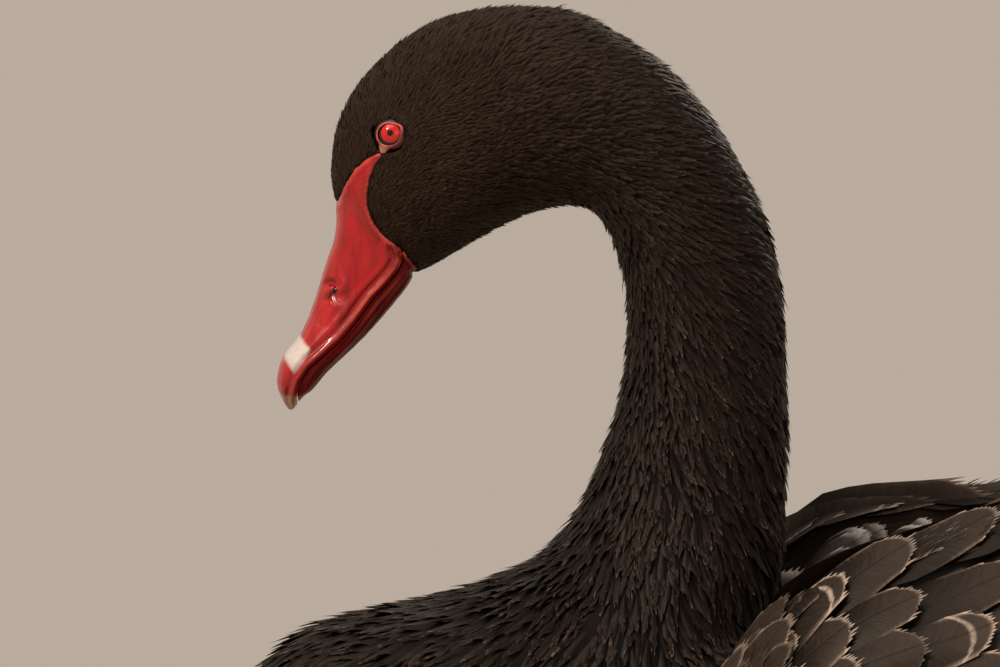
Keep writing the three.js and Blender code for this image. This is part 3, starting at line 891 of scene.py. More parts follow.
# On the neck, body and tail the pale tips are mostly painted highlights, glints of light on curled tips.
coat = feather_finish(
    "body_coat", (0.0011, 0.0007, 0.0005), (0.0078, 0.0044, 0.0031), (0.42, 0.26, 0.19),
    fringe=0.91, sides=0.13, gloss=0.16,
)
print("the finish of a feather has", len(coat.node_tree.nodes), "nodes")

# %% [markdown]
# ## Sowing and growing the coat
#
# Roots are scattered by chance with room that grows from a millimetre on the face to centimetres on the
# back. None grow from the bill, the bare skin round the eye, or under the wings' arms.

# %% Roots
EYE_RADIUS = 6.3 * MM
EYES = {"left": Vector((-241.3, -16.8, 348.8)) * MM, "right": Vector((-241.3, 16.8, 348.8)) * MM}
EYE_SHIFT = Vector((0.1, 0, 0.6)) * MM  # from the solid globe to the photographed one
LID_ROOM = 4.05 * MM  # bare radius round the eye's middle, seen from the side
WING_ROOM = 2.5 * MM

sown = sow()
roots = sown[0]
clear = past_bill(roots) > 0
for centre in EYES.values():
    from_axis = np.linalg.norm((roots - np.array(centre + EYE_SHIFT))[:, [0, 2]], axis=1)
    clear &= (from_axis > LID_ROOM) | (roots[:, 1] * centre.y < 0)
wing_trees = [tree_of(frame["nodes"][n]) for n in ("left_wing", "right_wing")]
for tree in wing_trees:
    clear &= np.array([tree.find_nearest(Vector(p))[3] for p in roots]) > WING_ROOM
sown = [rows[clear] for rows in sown]
roots, root_far = sown[0], sown[3]
print(len(roots), "roots")

# %% [markdown]
# A swan's coat changes from velvet on the face to lances on the neck and broad scales on the trunk. Each
# stretch is a piece with its own blank, and where two meet their roots are mixed by chance.

# %% Coat pieces, from the face to the belly
FACE_END, CROWN_END, TOP_END, HIGH_END, NECK_END = 0.035, 0.085, 0.14, 0.2, 0.35
jitter = rng.normal(0, 1, len(roots))
fine_far = root_far + 0.008 * jitter
broad_far = root_far + 0.02 * jitter
belly = (roots[:, 2] < 0.055) & (roots[:, 0] > -0.16)
front = ~belly & (roots[:, 0] < -0.12)
face, trunk = fine_far < FACE_END, broad_far >= NECK_END
neck = (fine_far >= CROWN_END) & (root_far < HIGH_END)
VELVET = dict(lift=0.9, fray=0.14, unruly=0.3)
SHAPES = {
    "top": dict(lift=0.9, camber=1.2, curl=-0.04, unruly=0.25),
    "high": dict(lift=0.9, camber=1.4, curl=-0.03, unruly=0.22),
    "low": dict(lift=0.85, camber=1.4, curl=-0.02, unruly=0.22),
    "breast": dict(lift=0.5, camber=1.1, curl=0.06, fray=0.035, unruly=0.16),
}
PIECES = {
    "coat_face": ("fine", face, VELVET),
    "coat_crown": ("fine", ~face & (fine_far < CROWN_END), VELVET),
    "coat_neck_top": ("leaf", neck & (root_far < TOP_END), SHAPES["top"]),
    "coat_neck_high": ("leaf", neck & (root_far >= TOP_END), SHAPES["high"]),
    "coat_neck_low": ("leaf", (root_far >= HIGH_END) & ~trunk, SHAPES["low"]),
    "coat_breast": ("oval", trunk & front, SHAPES["breast"]),
    "coat_belly": ("oval", trunk & belly, dict(lift=0.8)),
    "coat_back": ("oval", trunk & ~front & ~belly, dict(lift=0.9)),
}
for name, (kind, keep, shape) in PIECES.items():
    tone = ramp(root_far[keep], [0, 0.1, 0.3, 0.8], [0.05, 0.25, 0.4, 0.6])
    wear(grow(name, kind, keep, tone=tone, **shape), coat)

under = Finish("skin_under_coat", roughness=0.9)
under_shade = under.mix(under.noise(60.0).ramp(0.3, 0.7), (0.004, 0.003, 0.0025), (0.008, 0.006, 0.005))
wear(skin, under.set(base_color=under_shade, specular_ior_level=0.1))
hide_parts(*FLESH, "tail")
bpy.data.objects.remove(guide)

# %% [markdown]
# ## Wings
#
# A folded wing is a curved shell with rows of feathers, each row lapping over the next like tiles. The
# shell's outer face is a curved sheet through eight ribs. Rows follow it, from small rounded coverts at
# the wrist to long quills at the rear.
#
# In the photo the far wing's top edge is a little lower over its middle than the near one's.

# %% The wing's outer face
# Rib: x, then distance from the middle and height of the top edge, the widest place and the lower edge.
WING_RIBS = np.array([
    (-156, 84, 160, 100, 130, 101, 100), (-122, 85, 204, 121, 150, 113, 78),
    (-62, 81, 231, 133, 152, 119, 62), (20, 71, 236, 136, 146, 119, 56),
    (100, 56, 226, 127, 140, 107, 60), (180, 38, 198, 98, 140, 84, 88),
    (245, 27, 166, 68, 136, 62, 110), (292, 20, 146, 42, 130, 42, 118),
]) * MM
SLUMP = 6.5 * MM  # how much lower the far wing's top edge is
NUDGE, NUDGE_DOWN = 1 * MM, 0.01


def wing_rib(x, side):
    """Ribs read off smoothly at any x, with the top edge of the far wing (side above 0) lowered."""
    ribs = WING_RIBS
    slump = SLUMP * smoothstep(x, -0.1, -0.04) * (1 - smoothstep(x, 0.05, 0.2)) * (side > 0)
    slopes = np.gradient(ribs[:, 1:], ribs[:, 0], axis=0)
    x = np.clip(x, ribs[0, 0], ribs[-1, 0])
    k = np.clip(np.searchsorted(ribs[:, 0], x) - 1, 0, len(ribs) - 2)
    span = (ribs[k + 1, 0] - ribs[k, 0])[..., None]
    t = (x - ribs[k, 0])[..., None] / span
    rib = (2 * t ** 3 - 3 * t ** 2 + 1) * ribs[k, 1:] + (t ** 3 - 2 * t ** 2 + t) * span * slopes[k]
    rib += (3 * t ** 2 - 2 * t ** 3) * ribs[k + 1, 1:] + (t ** 3 - t ** 2) * span * slopes[k + 1]
    rib[..., 1] -= slump
    return rib


def wing_face(x, v, side):
    """Point of the outer face, v from the top edge (0) to the lower edge (1). side is -1 on the left."""
    x, v = np.broadcast_arrays(np.asarray(x, float), np.asarray(v, float))
    rib = wing_rib(x, side)
    top, out, low = rib[..., 0:2], rib[..., 2:4], rib[..., 4:6]
    pull = 2 * out - (top + low) / 2
    v = v[..., None]
    yz = (1 - v) ** 2 * top + 2 * v * (1 - v) * pull + v ** 2 * low
    return np.stack([x, side * yz[..., 0], yz[..., 1]], axis=-1)


def wing_out(x, v, side):
    """Outward direction at a place on the wing."""
    ahead = wing_face(x + NUDGE, v, side) - wing_face(x - NUDGE, v, side)
    v = np.asarray(v)
    down = wing_face(x, v + NUDGE_DOWN, side) - wing_face(x, v - NUDGE_DOWN, side)
    return unit(np.cross(ahead, down) * side)


print(len(WING_RIBS), "ribs, the widest wing", round(WING_RIBS[:, 3].max() / MM), "mm from the middle")

# %% [markdown]
# The real arm is flesh and bone under the small feathers. Here it is a closed shell that stops light
# between the feathers: a grid laid a little under the outer face and thickened inwards.

# %% Arm of the wing
ARM_X, ARM_V = [-0.152, 0.215], [0.03, 0.95]
ARM_SINK, ARM_THICK = 5.5 * MM, 8 * MM


def wing_arm(name, side):
    """A closed shell under the feathers, made from a grid laid on the face and thickened inwards."""
    bpy.ops.mesh.primitive_grid_add(x_subdivisions=36, y_subdivisions=14, size=2)
    arm = bpy.context.object
    arm.name = name
    flat = corners(arm)
    x = np.interp(flat[:, 0], [-1, 1], ARM_X)
    v = np.interp(flat[:, 1], [-1, 1], ARM_V)
    out = wing_out(x, v, side)
    move_corners(arm, wing_face(x, v, side) - out * ARM_SINK)
    edit_all(arm, bpy.ops.mesh.normals_make_consistent, inside=False)
    middle = len(flat) // 2
    if normals(arm)[middle] @ out[middle] < 0:
        edit_all(arm, bpy.ops.mesh.flip_normals)
    thick = arm.modifiers.new("thickness", "SOLIDIFY")
    thick.thickness, thick.offset = ARM_THICK, -1
    apply_modifiers(arm)
    bpy.ops.object.shade_smooth()
    return arm


# %% [markdown]
# Thirteen rows follow the arm from the wrist to the rear, each lapping over the next. Their feathers grow
# from small rounded coverts to long quills, and each one's place, length and turn vary by chance.

# %% Rows of the outer face
def run_back(start, reach, count=9):
    """Places along each feather, from 0 to 1, and the x of each."""
    t = np.linspace(0, 1, count)[None]
    return t, start[:, None] + reach[:, None] * t


# Rows: x of the roots, how many, v of the first and last, length, width, rise of the tip, turn up in v.
WING_ROWS = [
    (-150, 7, 0.12, 0.86, 34, 17, 4.2, 0.05), (-137, 8, 0.08, 0.88, 38, 19, 4.6, 0.05),
    (-121, 9, 0.05, 0.9, 44, 20, 5.0, 0.05), (-103, 10, 0.04, 0.91, 50, 21, 5.4, 0.05),
    (-83, 10, 0.03, 0.92, 56, 23, 5.8, 0.05), (-61, 10, 0.03, 0.92, 64, 25, 6.2, 0.05),
    (-36, 10, 0.03, 0.92, 74, 27, 6.6, 0.05), (-8, 9, 0.03, 0.92, 84, 30, 7.0, 0.04),
    (22, 9, 0.03, 0.92, 94, 32, 7.0, 0.04), (54, 8, 0.04, 0.9, 104, 34, 6.6, 0.03),
    (88, 8, 0.05, 0.9, 112, 34, 6.0, 0.03), (122, 7, 0.06, 0.88, 122, 32, 5.0, 0.02),
    (156, 6, 0.08, 0.85, 124, 29, 3.6, 0.0),
]
WING_SINK = 4.6 * MM
FAR_DROP = 0.05  # the far wing's rows begin this much lower in v
REAR, INNER_REAR = 0.287, 0.284  # no tip reaches farther back


def wing_rows(side):
    """Guide lines of all rows, with widths, rises and tones."""
    lines, overs, widths, rises, tones = [], [], [], [], []
    for x, count, top, low, length, width, rise, turn in WING_ROWS:
        v = np.linspace(top + FAR_DROP * (side > 0), low, count) + rng.normal(0, 0.008, count)
        start = x * MM + rng.normal(0, 2.0 * MM, count)
        reach = np.minimum(length * MM * rng.uniform(0.92, 1.08, count), REAR - start)
        t, xs = run_back(start, reach)
        vs = v[:, None] - turn * t * rng.uniform(0.7, 1.3, count)[:, None]
        out = wing_out(xs, vs, side)
        lines.append(wing_face(xs, vs, side) - out * WING_SINK)
        overs.append(out)
        widths.append(width * MM * rng.uniform(0.92, 1.08, count))
        rises.append(np.full(count, rise * MM))
        tones.append(np.clip(rng.normal(0.9, 0.15, count), 0.4, 1.3))
    line, over, width, rise, tone = map(np.concatenate, (lines, overs, widths, rises, tones))
    return (line, over), width, rise, tone


print(sum(row[1] for row in WING_ROWS), "feathers on the outer face of each wing")

# %% [markdown]
# Seen from the front, a raised wing shows more than its outer face. Long dark feathers line its inner
# side, a crest runs along the top edge, small ones fold round the wrist, and soft pale ones and single
# barbs stand between wing and back. Each group is a set of guide lines placed from the ribs.

# %% Inner side and edges of a wing
def facing_all(line, way):
    """The same normal at every point of the guide lines."""
    return unit(np.zeros_like(line) + way)


def wing_inner(side):
    """Guide lines of long dark feathers on the side of the wing that faces the back."""
    lines = []
    for x0 in np.arange(-146, 150, 26) * MM:
        w = np.linspace(0.13, 1.0, 6) + rng.normal(0, 0.02, 6)
        start = x0 + rng.normal(0, 5 * MM, 6)
        reach = np.minimum(92 * MM * rng.uniform(0.9, 1.1, 6), INNER_REAR - start)
        t, xs = run_back(start, reach)
        rib = wing_rib(xs, side)
        down = w[:, None] - 0.06 * t
        y = rib[..., 0] - (12 + 6 * down) * MM
        z = rib[..., 1] - (3 + 66 * down) * MM
        lines.append(np.stack([xs, side * np.maximum(y, 4 * MM), z], axis=-1))
    line = np.concatenate(lines)
    return line, facing_all(line, (0, -side, 0.3))


def wing_crest(side):
    """Guide lines along the top edge, from the wrist to the rear."""
    start = np.arange(-150, 190, 13) * MM
    start = start + rng.normal(0, 3 * MM, len(start))
    reach = np.minimum(np.interp(start, [-0.15, 0.05], [0.036, 0.085]), INNER_REAR - start)
    _, xs = run_back(start, reach)
    rib = wing_rib(xs, side)
    line = np.stack([xs, side * (rib[..., 0] - 5.5 * MM), rib[..., 1] - 2.2 * MM], axis=-1)
    return line, facing_all(line, (0, side * 0.1, 1.0))


def wing_wrist(side):
    """Guide lines of small feathers that fold round the front edge from inside to outside."""
    each = 15
    v = np.concatenate([np.linspace(*ends, each) for ends in ((0.0, 0.98), (0.03, 0.96), (0.0, 0.98))])
    ahead = np.repeat(np.array([0, 6, 13]) * MM, each) + rng.normal(0, 0.7 * MM, 3 * each)
    t = np.linspace(0, 1, 9)[None]
    turn = np.minimum(t * 1.6, 1) * math.pi
    xs = -0.1475 + ahead[:, None] - np.sin(turn) * 4.5 * MM + np.maximum(t - 0.6, 0) * 40 * MM
    vs = v[:, None] - 0.03 * t
    out = wing_out(xs, vs, side)
    deep = np.cos(turn) * 6 * MM + 7.5 * MM + np.zeros_like(xs)
    line = wing_face(xs, vs, side) - out * deep[..., None]
    front = np.zeros_like(line)
    front[..., 0] = -1
    over = out * -np.cos(turn)[..., None] + front * np.sin(turn)[..., None]
    return line, unit(over)


def scapulars(side):
    """Guide lines of soft pale feathers between the neck and the wing."""
    count = 34
    start = rng.uniform(-0.132, -0.055, count)
    deep = rng.uniform(0, 1, count)
    t, xs = run_back(start, np.full(count, 26 * MM), 7)
    rib = wing_rib(xs, side)
    y = rib[..., 0] - (15 + 26 * deep[:, None]) * MM
    z = rib[..., 1] + (-21 - 24 * deep[:, None] + 15 * t - 4 * t ** 2) * MM
    line = np.stack([xs, side * y, z], axis=-1)
    return line, facing_all(line, (0, -side * 0.75, 0.65))


def loose_barbs(side):
    """Guide lines of single barbs that stand up from the top edge."""
    count = 150
    start = rng.uniform(-0.085, -0.03, count)
    reach = rng.uniform(7, 15, count)[:, None] * MM
    t, xs = run_back(start, reach[:, 0] * 0.86, 5)
    rib = wing_rib(xs, side)
    spread = rng.uniform(-9, 7, count)[:, None] * MM
    z = rib[..., 1] - 3.5 * MM - np.abs(spread) * 0.35 + reach * (0.62 * t - 0.2 * t ** 2)
    line = np.stack([xs, side * (rib[..., 0] - 4 * MM) + spread, z], axis=-1)
    return line, facing_all(line, (0, side, 0))


# %% [markdown]
# The outer feathers are paler at their edges than the neck's, since sun and use wear them. Both wings
# are made by the same steps, with the side as a sign.

# %% Both wings
wing_coat = feather_finish(
    "wing_coat", (0.005, 0.0032, 0.0024), (0.032, 0.021, 0.0155), (0.42, 0.32, 0.25),
    fringe=0.925, sides=0.5, gloss=0.12,
)
dark_coat = feather_finish(
    "inner_coat", (0.008, 0.0052, 0.004), (0.026, 0.017, 0.0125), (0.24, 0.175, 0.135),
    fringe=0.93, sides=0.45, gloss=0.14,
)
pale_coat = feather_finish(
    "pale_coat", (0.018, 0.014, 0.012), (0.07, 0.057, 0.05), (0.55, 0.50, 0.46),
    fringe=0.78, sides=0.7, gloss=0.2,
)
arm_finish = Finish("arm_skin", roughness=0.9)
blotch = arm_finish.noise(60.0).ramp(0.3, 0.7)
arm_finish.set(base_color=arm_finish.mix(blotch, (0.012, 0.009, 0.008), (0.024, 0.018, 0.015)))
for label, side in (("left", -1), ("right", 1)):
    arm = wear(wing_arm(f"arm_{label}", side), arm_finish.material)
    guides, width, rise, tone = wing_rows(side)
    wing = lay(
        f"wing_{label}", "frond", guides, width, rise, tone,
        camber=0.35, roll=0.06 * side, fray=0.02,
    )
    wear(wing, wing_coat)
    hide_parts(f"{label}_wing")
    for part, kind, guides, spread, rise, finish, bow in (
        ("inner", "frond", wing_inner(side), (24, 30), 3.0, dark_coat, 0.3),
        ("crest", "frond", wing_crest(side), (20, 26), 1.0, wing_coat, 0.75),
        ("wrist", "frond", wing_wrist(side), (13, 16), 1.4, wing_coat, 0.3),
        ("scapulars", "frond", scapulars(side), (13, 18), 3.0, pale_coat, 0.6),
        ("barbs", "fine", loose_barbs(side), (0.35, 0.6), 0.5, pale_coat, 0.3),
    ):
        count = len(guides[0])
        width, tone = rng.uniform(*spread, count) * MM, rng.uniform(0.3, 0.9, count)
        made = lay(
            f"wing_{part}_{label}", kind, guides, width, np.full(count, rise * MM), tone,
            camber=bow, fray=0.02, unruly=0.06,
        )
        wear(made, finish)

# %% [markdown]
# The tail is a short fan of quills with shorter rows above and below. Its feathers are few and lie in
# known places, so their guide lines are computed from a table and not sown.

# %% Tail
# Fan: feathers each side of the middle, x of root and tip, rounding, width, room at root and tip, rise.
TAIL_FANS = {
    "quills": (8, 234, 322, 1.5, 19, 3.4, 5.6, 0), "upper": (4, 236, 300, 2.6, 17, 5, 7.4, 2.6),
    "upper_short": (4, 232, 276, 2.6, 16, 5.4, 7.0, 4.6), "under": (4, 236, 300, 2.6, 17, 5, 7.2, -12.5),
}
for fan, (half, root, tip, rounding, width, room_at_root, room_at_tip, rise) in TAIL_FANS.items():
    place = np.arange(-half, half + 1)[:, None]
    t = np.linspace(0, 1, 7)[None]
    x = root + (tip - rounding * np.abs(place) * t - root) * t
    room = room_at_root + (room_at_tip - room_at_root) * t
    y = place * room
    z = np.interp(x, [236, 323], [113, 104]) + rise - np.sign(rise or 1) * 0.26 * room * np.abs(place)
    line = np.stack([x, y, z], axis=-1) * MM
    widths, rises, tones = (np.full(2 * half + 1, value) for value in (width * MM, 1.0 * MM, 0.4))
    piece = lay(
        f"tail_{fan}", "frond", (line, facing_all(line, (0, 0, 1))), widths, rises, tones,
        camber=0.2, fray=0.02,
    )
    wear(piece, coat)

# %% [markdown]
# ## Bill
#
# The bill is one smooth horn with a rolled lip on each side. Copies of the CAD parts are remeshed finely
# and their corners are then moved: out along the lip, in beside it, and in at the nostril. The nostril of
# the solids slants the other way from the photo's, so its surroundings are turned and drawn together. Its
# rim is levelled, and the hole is slanted along the line of sight, so that a spot of light shows through.

# %% Shape of the bill
MOUTH_LINE = np.array([
    (-238.4, 313.2), (-237.4, 309.4), (-239.2, 305.4), (-242.6, 301.4), (-247.2, 296.6), (-252.6, 289.2),
    (-257.4, 283.4), (-262.6, 278.8), (-267.6, 274.6), (-270.4, 270.0), (-271.4, 264.6), (-270.4, 260.0),
]) * MM
FEATHER_EDGE = np.array([
    (-264.0, 324.6), (-258.3, 327.0), (-256.6, 332.2), (-253.6, 338.0), (-249.4, 341.8), (-245.6, 344.0),
    (-244.2, 344.0), (-244.6, 342.4), (-246.6, 339.6), (-248.2, 335.6), (-249.0, 330.8), (-248.8, 325.8),
    (-247.4, 321.6), (-244.8, 318.0), (-241.6, 315.2), (-238.4, 313.2), (-235.6, 309.4), (-232.8, 306.0),
]) * MM
NOSTRIL = np.array((-259.2, 299.0)) * MM
NOSTRIL_TURN, NOSTRIL_SHRINK = math.radians(72), 0.7
NOSTRIL_NEAR, NOSTRIL_FAR = 3.5 * MM, 4.9 * MM  # turned fully within the first, not at all past the second
SIGHT_SLANT = np.array([0.035, -0.079])  # how x and z change along the line of sight for a step across
RIM_FROM, RIM_TO = 5 * MM, 7 * MM  # the horn round the nostril that it is levelled with
NOSTRIL_DIP = np.array((-260.6, 298.4)) * MM
NOSTRIL_GROOVE = np.array([(-262.8, 297.0), (-264.4, 293.0), (-264.2, 288.5)]) * MM
MOUTH_CORNER = np.array((-239.6, 313.8)) * MM
BILL_VOXEL = 0.45 * MM


def from_line(flat, line):
    """Distance of 2-D points from a line of segments."""
    least = np.full(len(flat), 1e9)
    for a, b in zip(line[:-1], line[1:]):
        t = np.clip(((flat - a) @ (b - a)) / ((b - a) @ (b - a)), 0, 1)[:, None]
        least = np.minimum(least, np.linalg.norm(flat - a - t * (b - a), axis=1))
    return least


def bell(value, centre, width):
    return np.exp(-(((value - centre) / width) ** 2))


def note(piece, **layers):
    """Keeps numbers at a piece's corners for its finish to read."""
    for key, values in layers.items():
        piece.data.attributes.new(key, "FLOAT", "POINT").data.foreach_set("value", values)


def turned_nostril(at, flank):
    """Corners of the upper bill with the nostril turned, drawn together and slanted."""
    flat = at[:, [0, 2]]
    away = flat - NOSTRIL
    ring = np.linalg.norm(away, axis=1)
    inner = 1 - smoothstep(ring, NOSTRIL_NEAR, NOSTRIL_FAR)
    spin, scale = NOSTRIL_TURN * inner, 1 - NOSTRIL_SHRINK * inner
    across = away[:, 0] * np.cos(spin) + away[:, 1] * np.sin(spin)
    upward = away[:, 1] * np.cos(spin) - away[:, 0] * np.sin(spin)
    away = np.stack([across, upward], axis=1) * scale[:, None]
    moved = NOSTRIL + away - flat
    for sign in (-1, 1):
        on_side = at[:, 1] * sign > 0
        rim = on_side & (flank > 0.5) & (ring > RIM_FROM) & (ring < RIM_TO)
        known = np.column_stack([flat[rim], np.ones(rim.sum())])
        slope = np.linalg.lstsq(known, at[rim, 1], rcond=None)[0]
        level = flat[on_side] @ slope[:2] + slope[2]
        at[on_side, 1] *= 1 + moved[on_side] @ slope[:2] / level
    through = inner * at[:, 1]
    at[:, [0, 2]] = NOSTRIL + away + through[:, None] * SIGHT_SLANT
    return at


def shaped_bill(node, name, folds):
    """Remeshed bill half. Each fold is a height, a distance from the mouth line and a width, in mm."""
    bill = copy_of([node], name)
    remesh(bill, BILL_VOXEL, 4)
    root = bill.vertex_groups.new(name="root")
    for v in bill.data.vertices:
        root.add([v.index], float(smoothstep(v.co.z, 0.300, 0.318)), "REPLACE")
    soften = bill.modifiers.new("soften", "SMOOTH")
    soften.factor, soften.iterations, soften.vertex_group = 0.5, 70, "root"
    apply_modifiers(bill)
    at, out = corners(bill), normals(bill)
    flat = at[:, [0, 2]]
    gap = from_line(flat, MOUTH_LINE) / MM
    margin = from_line(flat, FEATHER_EDGE) / MM
    flank = smoothstep(np.abs(out[:, 1]), 0.2, 0.7) * smoothstep(margin, 0.3, 2.5)
    move = sum(height * bell(gap, away, width) for height, away, width in folds) * flank
    if node == "upper_bill":
        at = turned_nostril(at, flank)
    flat = at[:, [0, 2]]
    turned = (flat - NOSTRIL_DIP) @ np.array([[0.8, 0.6], [-0.6, 0.8]]).T
    reach = np.hypot(turned[:, 0] / (3.0 * MM), turned[:, 1] / (1.15 * MM))
    if node == "upper_bill":
        groove = from_line(flat, NOSTRIL_GROOVE) / MM
        hollow = 1.2 * bell(reach, 0, 1.0)
        move += flank * (0.12 * bell(reach, 1.9, 0.5) - hollow - 0.3 * bell(groove, 0, 0.9))
    move += 0.3 * (1 - smoothstep(margin, 0.8, 4.0))
    ripple = np.sin(flat[:, 0] * 900) * np.sin(flat[:, 1] * 760 + flat[:, 0] * 300)
    wrinkle = np.sin(gap * 4.2 + np.sin(flat[:, 1] * 2100)) * bell(margin, 1.5, 2.5)
    move += 0.05 * ripple + 0.07 * wrinkle
    move_corners(bill, at + out * move[:, None] * MM)
    # Where the painted shade of the nostril's pit and the mouth's corner falls.
    pit = np.hypot((turned[:, 0] + 0.3 * MM) / (2.5 * MM), turned[:, 1] / (0.95 * MM))
    pit = np.minimum(pit, np.linalg.norm(flat - MOUTH_CORNER, axis=1) / (0.9 * MM))
    note(bill, gap=gap, margin=margin, flank=flank, pit=pit)
    return bill


print("the nostril is turned by", round(math.degrees(NOSTRIL_TURN)), "degrees")

# %% [markdown]
# The horn is a deep red that pales where it meets the feathers. A painted highlight lies along the ridge
# of the lip, and painted shade darkens the crease of the mouth, the nostril's pit and the mouth's corner.
# The lower half is a darker red, partly its own colour and partly painted shade under the upper half.
# A white band crosses the horn before the tip, bounded by three straight edges, and the nail at the tip
# is pale horn.

# %% Finish of the bill
BAND_EDGES = [
    ((-270.4, 284.5), (-267.5, 280.8)),
    ((-275.3, 277.9), (-273.1, 273.6)),
    ((-266.9, 281.2), (-272.4, 273.4)),
]
BAND_SOFT = 0.85 * MM


def half_plane(x, z, first, second, soft):
    """1 on the left of the line from first to second in (x, z), given in millimetres."""
    (ax, az), (bx, bz) = first, second
    span = math.hypot(bx - ax, bz - az)
    nx, nz = -(bz - az) / span, (bx - ax) / span
    offset = (ax * nx + az * nz) * MM
    return (x * nx + z * nz - offset).ramp(-soft, soft)


def bill_finish(name, first_red, second_red, lit_ridge, film):
    horn = Finish(name, coat_weight=film, coat_roughness=0.12, specular_ior_level=0.75 * film)
    x, _, z = horn.axes()
    gap, margin, flank = horn.attribute("gap"), horn.attribute("margin"), horn.attribute("flank")
    fine = horn.noise(900.0, 4.0)
    cloud = horn.noise(120.0, 3.0)
    streak = horn.noise(260.0, 3.0, horn.stretched(horn.place(), (1.0, 1.0, 0.16), (0, 0.45, 0)), 0.6)
    red = horn.mix(streak.ramp(0.35, 0.7), first_red, second_red)
    red = horn.mix(cloud.ramp(0.4, 0.75) * 0.35 * lit_ridge, red, (0.50, 0.03, 0.02))
    # Painted shade: a darker red in the crease along the mouth line.
    near = 1 - (gap + cloud * 1.2).ramp(0.6, 6.0)
    red = horn.mix(near * flank * 0.7, red, (0.13, 0.0035, 0.005))
    # A painted highlight: a wet light along the ridge of the lip, strongest over its middle stretch.
    ridge = gap.ramp(0.9, 1.6) * (1 - gap.ramp(1.9, 2.7)) * flank
    highlight_focus = 1 - (z - 297 * MM).math("ABSOLUTE").ramp(3 * MM, 11 * MM)
    red = horn.mix(ridge * (0.3 + highlight_focus * 0.5) * lit_ridge, red, (0.62, 0.085, 0.05))
    bare = (1 - (margin + streak * 1.6).ramp(0.5, 2.6)) * 0.7
    red = horn.mix(bare, red, (0.58, 0.11, 0.075))
    # Painted shade: near black in the nostril's pit and the mouth's corner.
    pit = 1 - horn.attribute("pit").ramp(0.5, 1.5)
    red = horn.mix(pit * 0.85, red, (0.05, 0.003, 0.003))
    wobble = (cloud - 0.5) * 2.4 * MM
    shifted = (x + wobble, z + wobble * 0.5)
    above, before, below = (half_plane(*shifted, *edge, BAND_SOFT) for edge in BAND_EDGES)
    band = (1 - above) * before * (1 - below)
    hue = horn.mix(band * 0.94, red, (0.62, 0.555, 0.505))
    nail = (z * -1 + cloud * 1.5 * MM).ramp(-265.4 * MM, -263.9 * MM)
    hue = horn.mix(nail * 0.85, hue, (0.32, 0.17, 0.10))
    hue = horn.mix((1 - fine.ramp(0.28, 0.5)) * 0.15, hue, (0.2, 0.01, 0.01))
    rough = 0.42 - film * 0.5 + streak * 0.2 + fine * 0.08
    return horn.set(base_color=hue, roughness=rough, normal=horn.bump(fine + streak * 2, 0.1 * MM, 0.6))


# %% Both halves of the bill
# Folds that run beside the mouth: height, distance from the mouth line and width, in millimetres.
UPPER_FOLDS = [(0.55, 1.7, 0.8), (-0.45, 3.4, 0.8), (0.25, 5.2, 0.9), (-0.12, 7.0, 1.2)]
LOWER_FOLDS = [(-0.12, 1.2, 0.6), (0.15, 2.6, 0.7), (-0.14, 4.2, 0.9), (0.08, 6.0, 1.1)]
upper_horn = bill_finish("bill_horn", (0.42, 0.0055, 0.0085), (0.26, 0.0025, 0.005), 1.0, 0.4)
# The lower half's red is darker than the upper's: partly its own colour, partly painted shade under the
# upper half.
lower_horn_and_painted_shade = bill_finish("lower_horn_and_painted_shade", (0.12, 0.003, 0.0045), (0.045, 0.0015, 0.0025), 0.3, 0.1)
upper = wear(shaped_bill("upper_bill", "bill_upper", UPPER_FOLDS), upper_horn)
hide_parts("upper_bill")
lower = wear(shaped_bill("lower_bill", "bill_lower", LOWER_FOLDS), lower_horn_and_painted_shade)
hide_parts("lower_bill")

# %% [markdown]
# ## Eyes
#
# Each eye is a globe as large as the real one, deep in the head, of which the lids leave a disc of seven
# millimetres. The iris is red and its pupil small. A wet film gives the light in the eye.

# %% Eyes and lids
EYE_TURN = math.radians(12)  # how far the lids open ahead of straight out
PUPIL_EDGE, IRIS_EDGE = (0.155, 0.185), (0.49, 0.55)  # angles from the gaze, in radians


def eye_axis(side):
    return Vector((-math.sin(EYE_TURN), side * math.cos(EYE_TURN), 0.07)).normalized()


def gaze(side):
    """The iris looks a little more to the rear and up than the lids open."""
    return Vector((-0.135, side, 0.14)).normalized()


def eye_finish(name, centre, axis):
    glass = Finish(name, roughness=0.2, coat_weight=0.7, coat_roughness=0.03, specular_ior_level=0.15)
    kind = "ShaderNodeVectorMath"
    away = glass.node(kind, {"operation": "SUBTRACT"}, {0: glass.place(), 1: tuple(centre)})
    way = glass.node(kind, {"operation": "NORMALIZE"}, {0: away})
    dot = glass.node(kind, {"operation": "DOT_PRODUCT"}, {0: way, 1: tuple(axis)}, output="Value")
    angle = dot.math("ARCCOSINE")
    grain = glass.noise(9.0, 3.0, glass.stretched(way, (3.0, 3.0, 3.0)), 0.7)
    iris = glass.mix(grain.ramp(0.3, 0.7), (0.70, 0.018, 0.012), (0.42, 0.006, 0.006))
    iris = glass.mix(angle.ramp(*IRIS_EDGE), iris, (0.008, 0.003, 0.003))
    hue = glass.mix((angle + grain * 0.02).ramp(*PUPIL_EDGE), (0.002, 0.0015, 0.0015), iris)
    return glass.set(base_color=hue)


def globe(name, centre, axis):
    bpy.ops.mesh.primitive_uv_sphere_add(segments=64, ring_count=48, radius=EYE_RADIUS - 0.3 * MM)
    ball = bpy.context.object
    ball.name = name
    at = corners(ball)
    toward = np.clip(unit(at) @ np.array(axis), 0, 1)
    at *= (1 + 0.05 * smoothstep(toward, 0.8, 1.0))[:, None]
    move_corners(ball, at + np.array(centre))
    only(ball)
    bpy.ops.object.shade_smooth()
    return ball


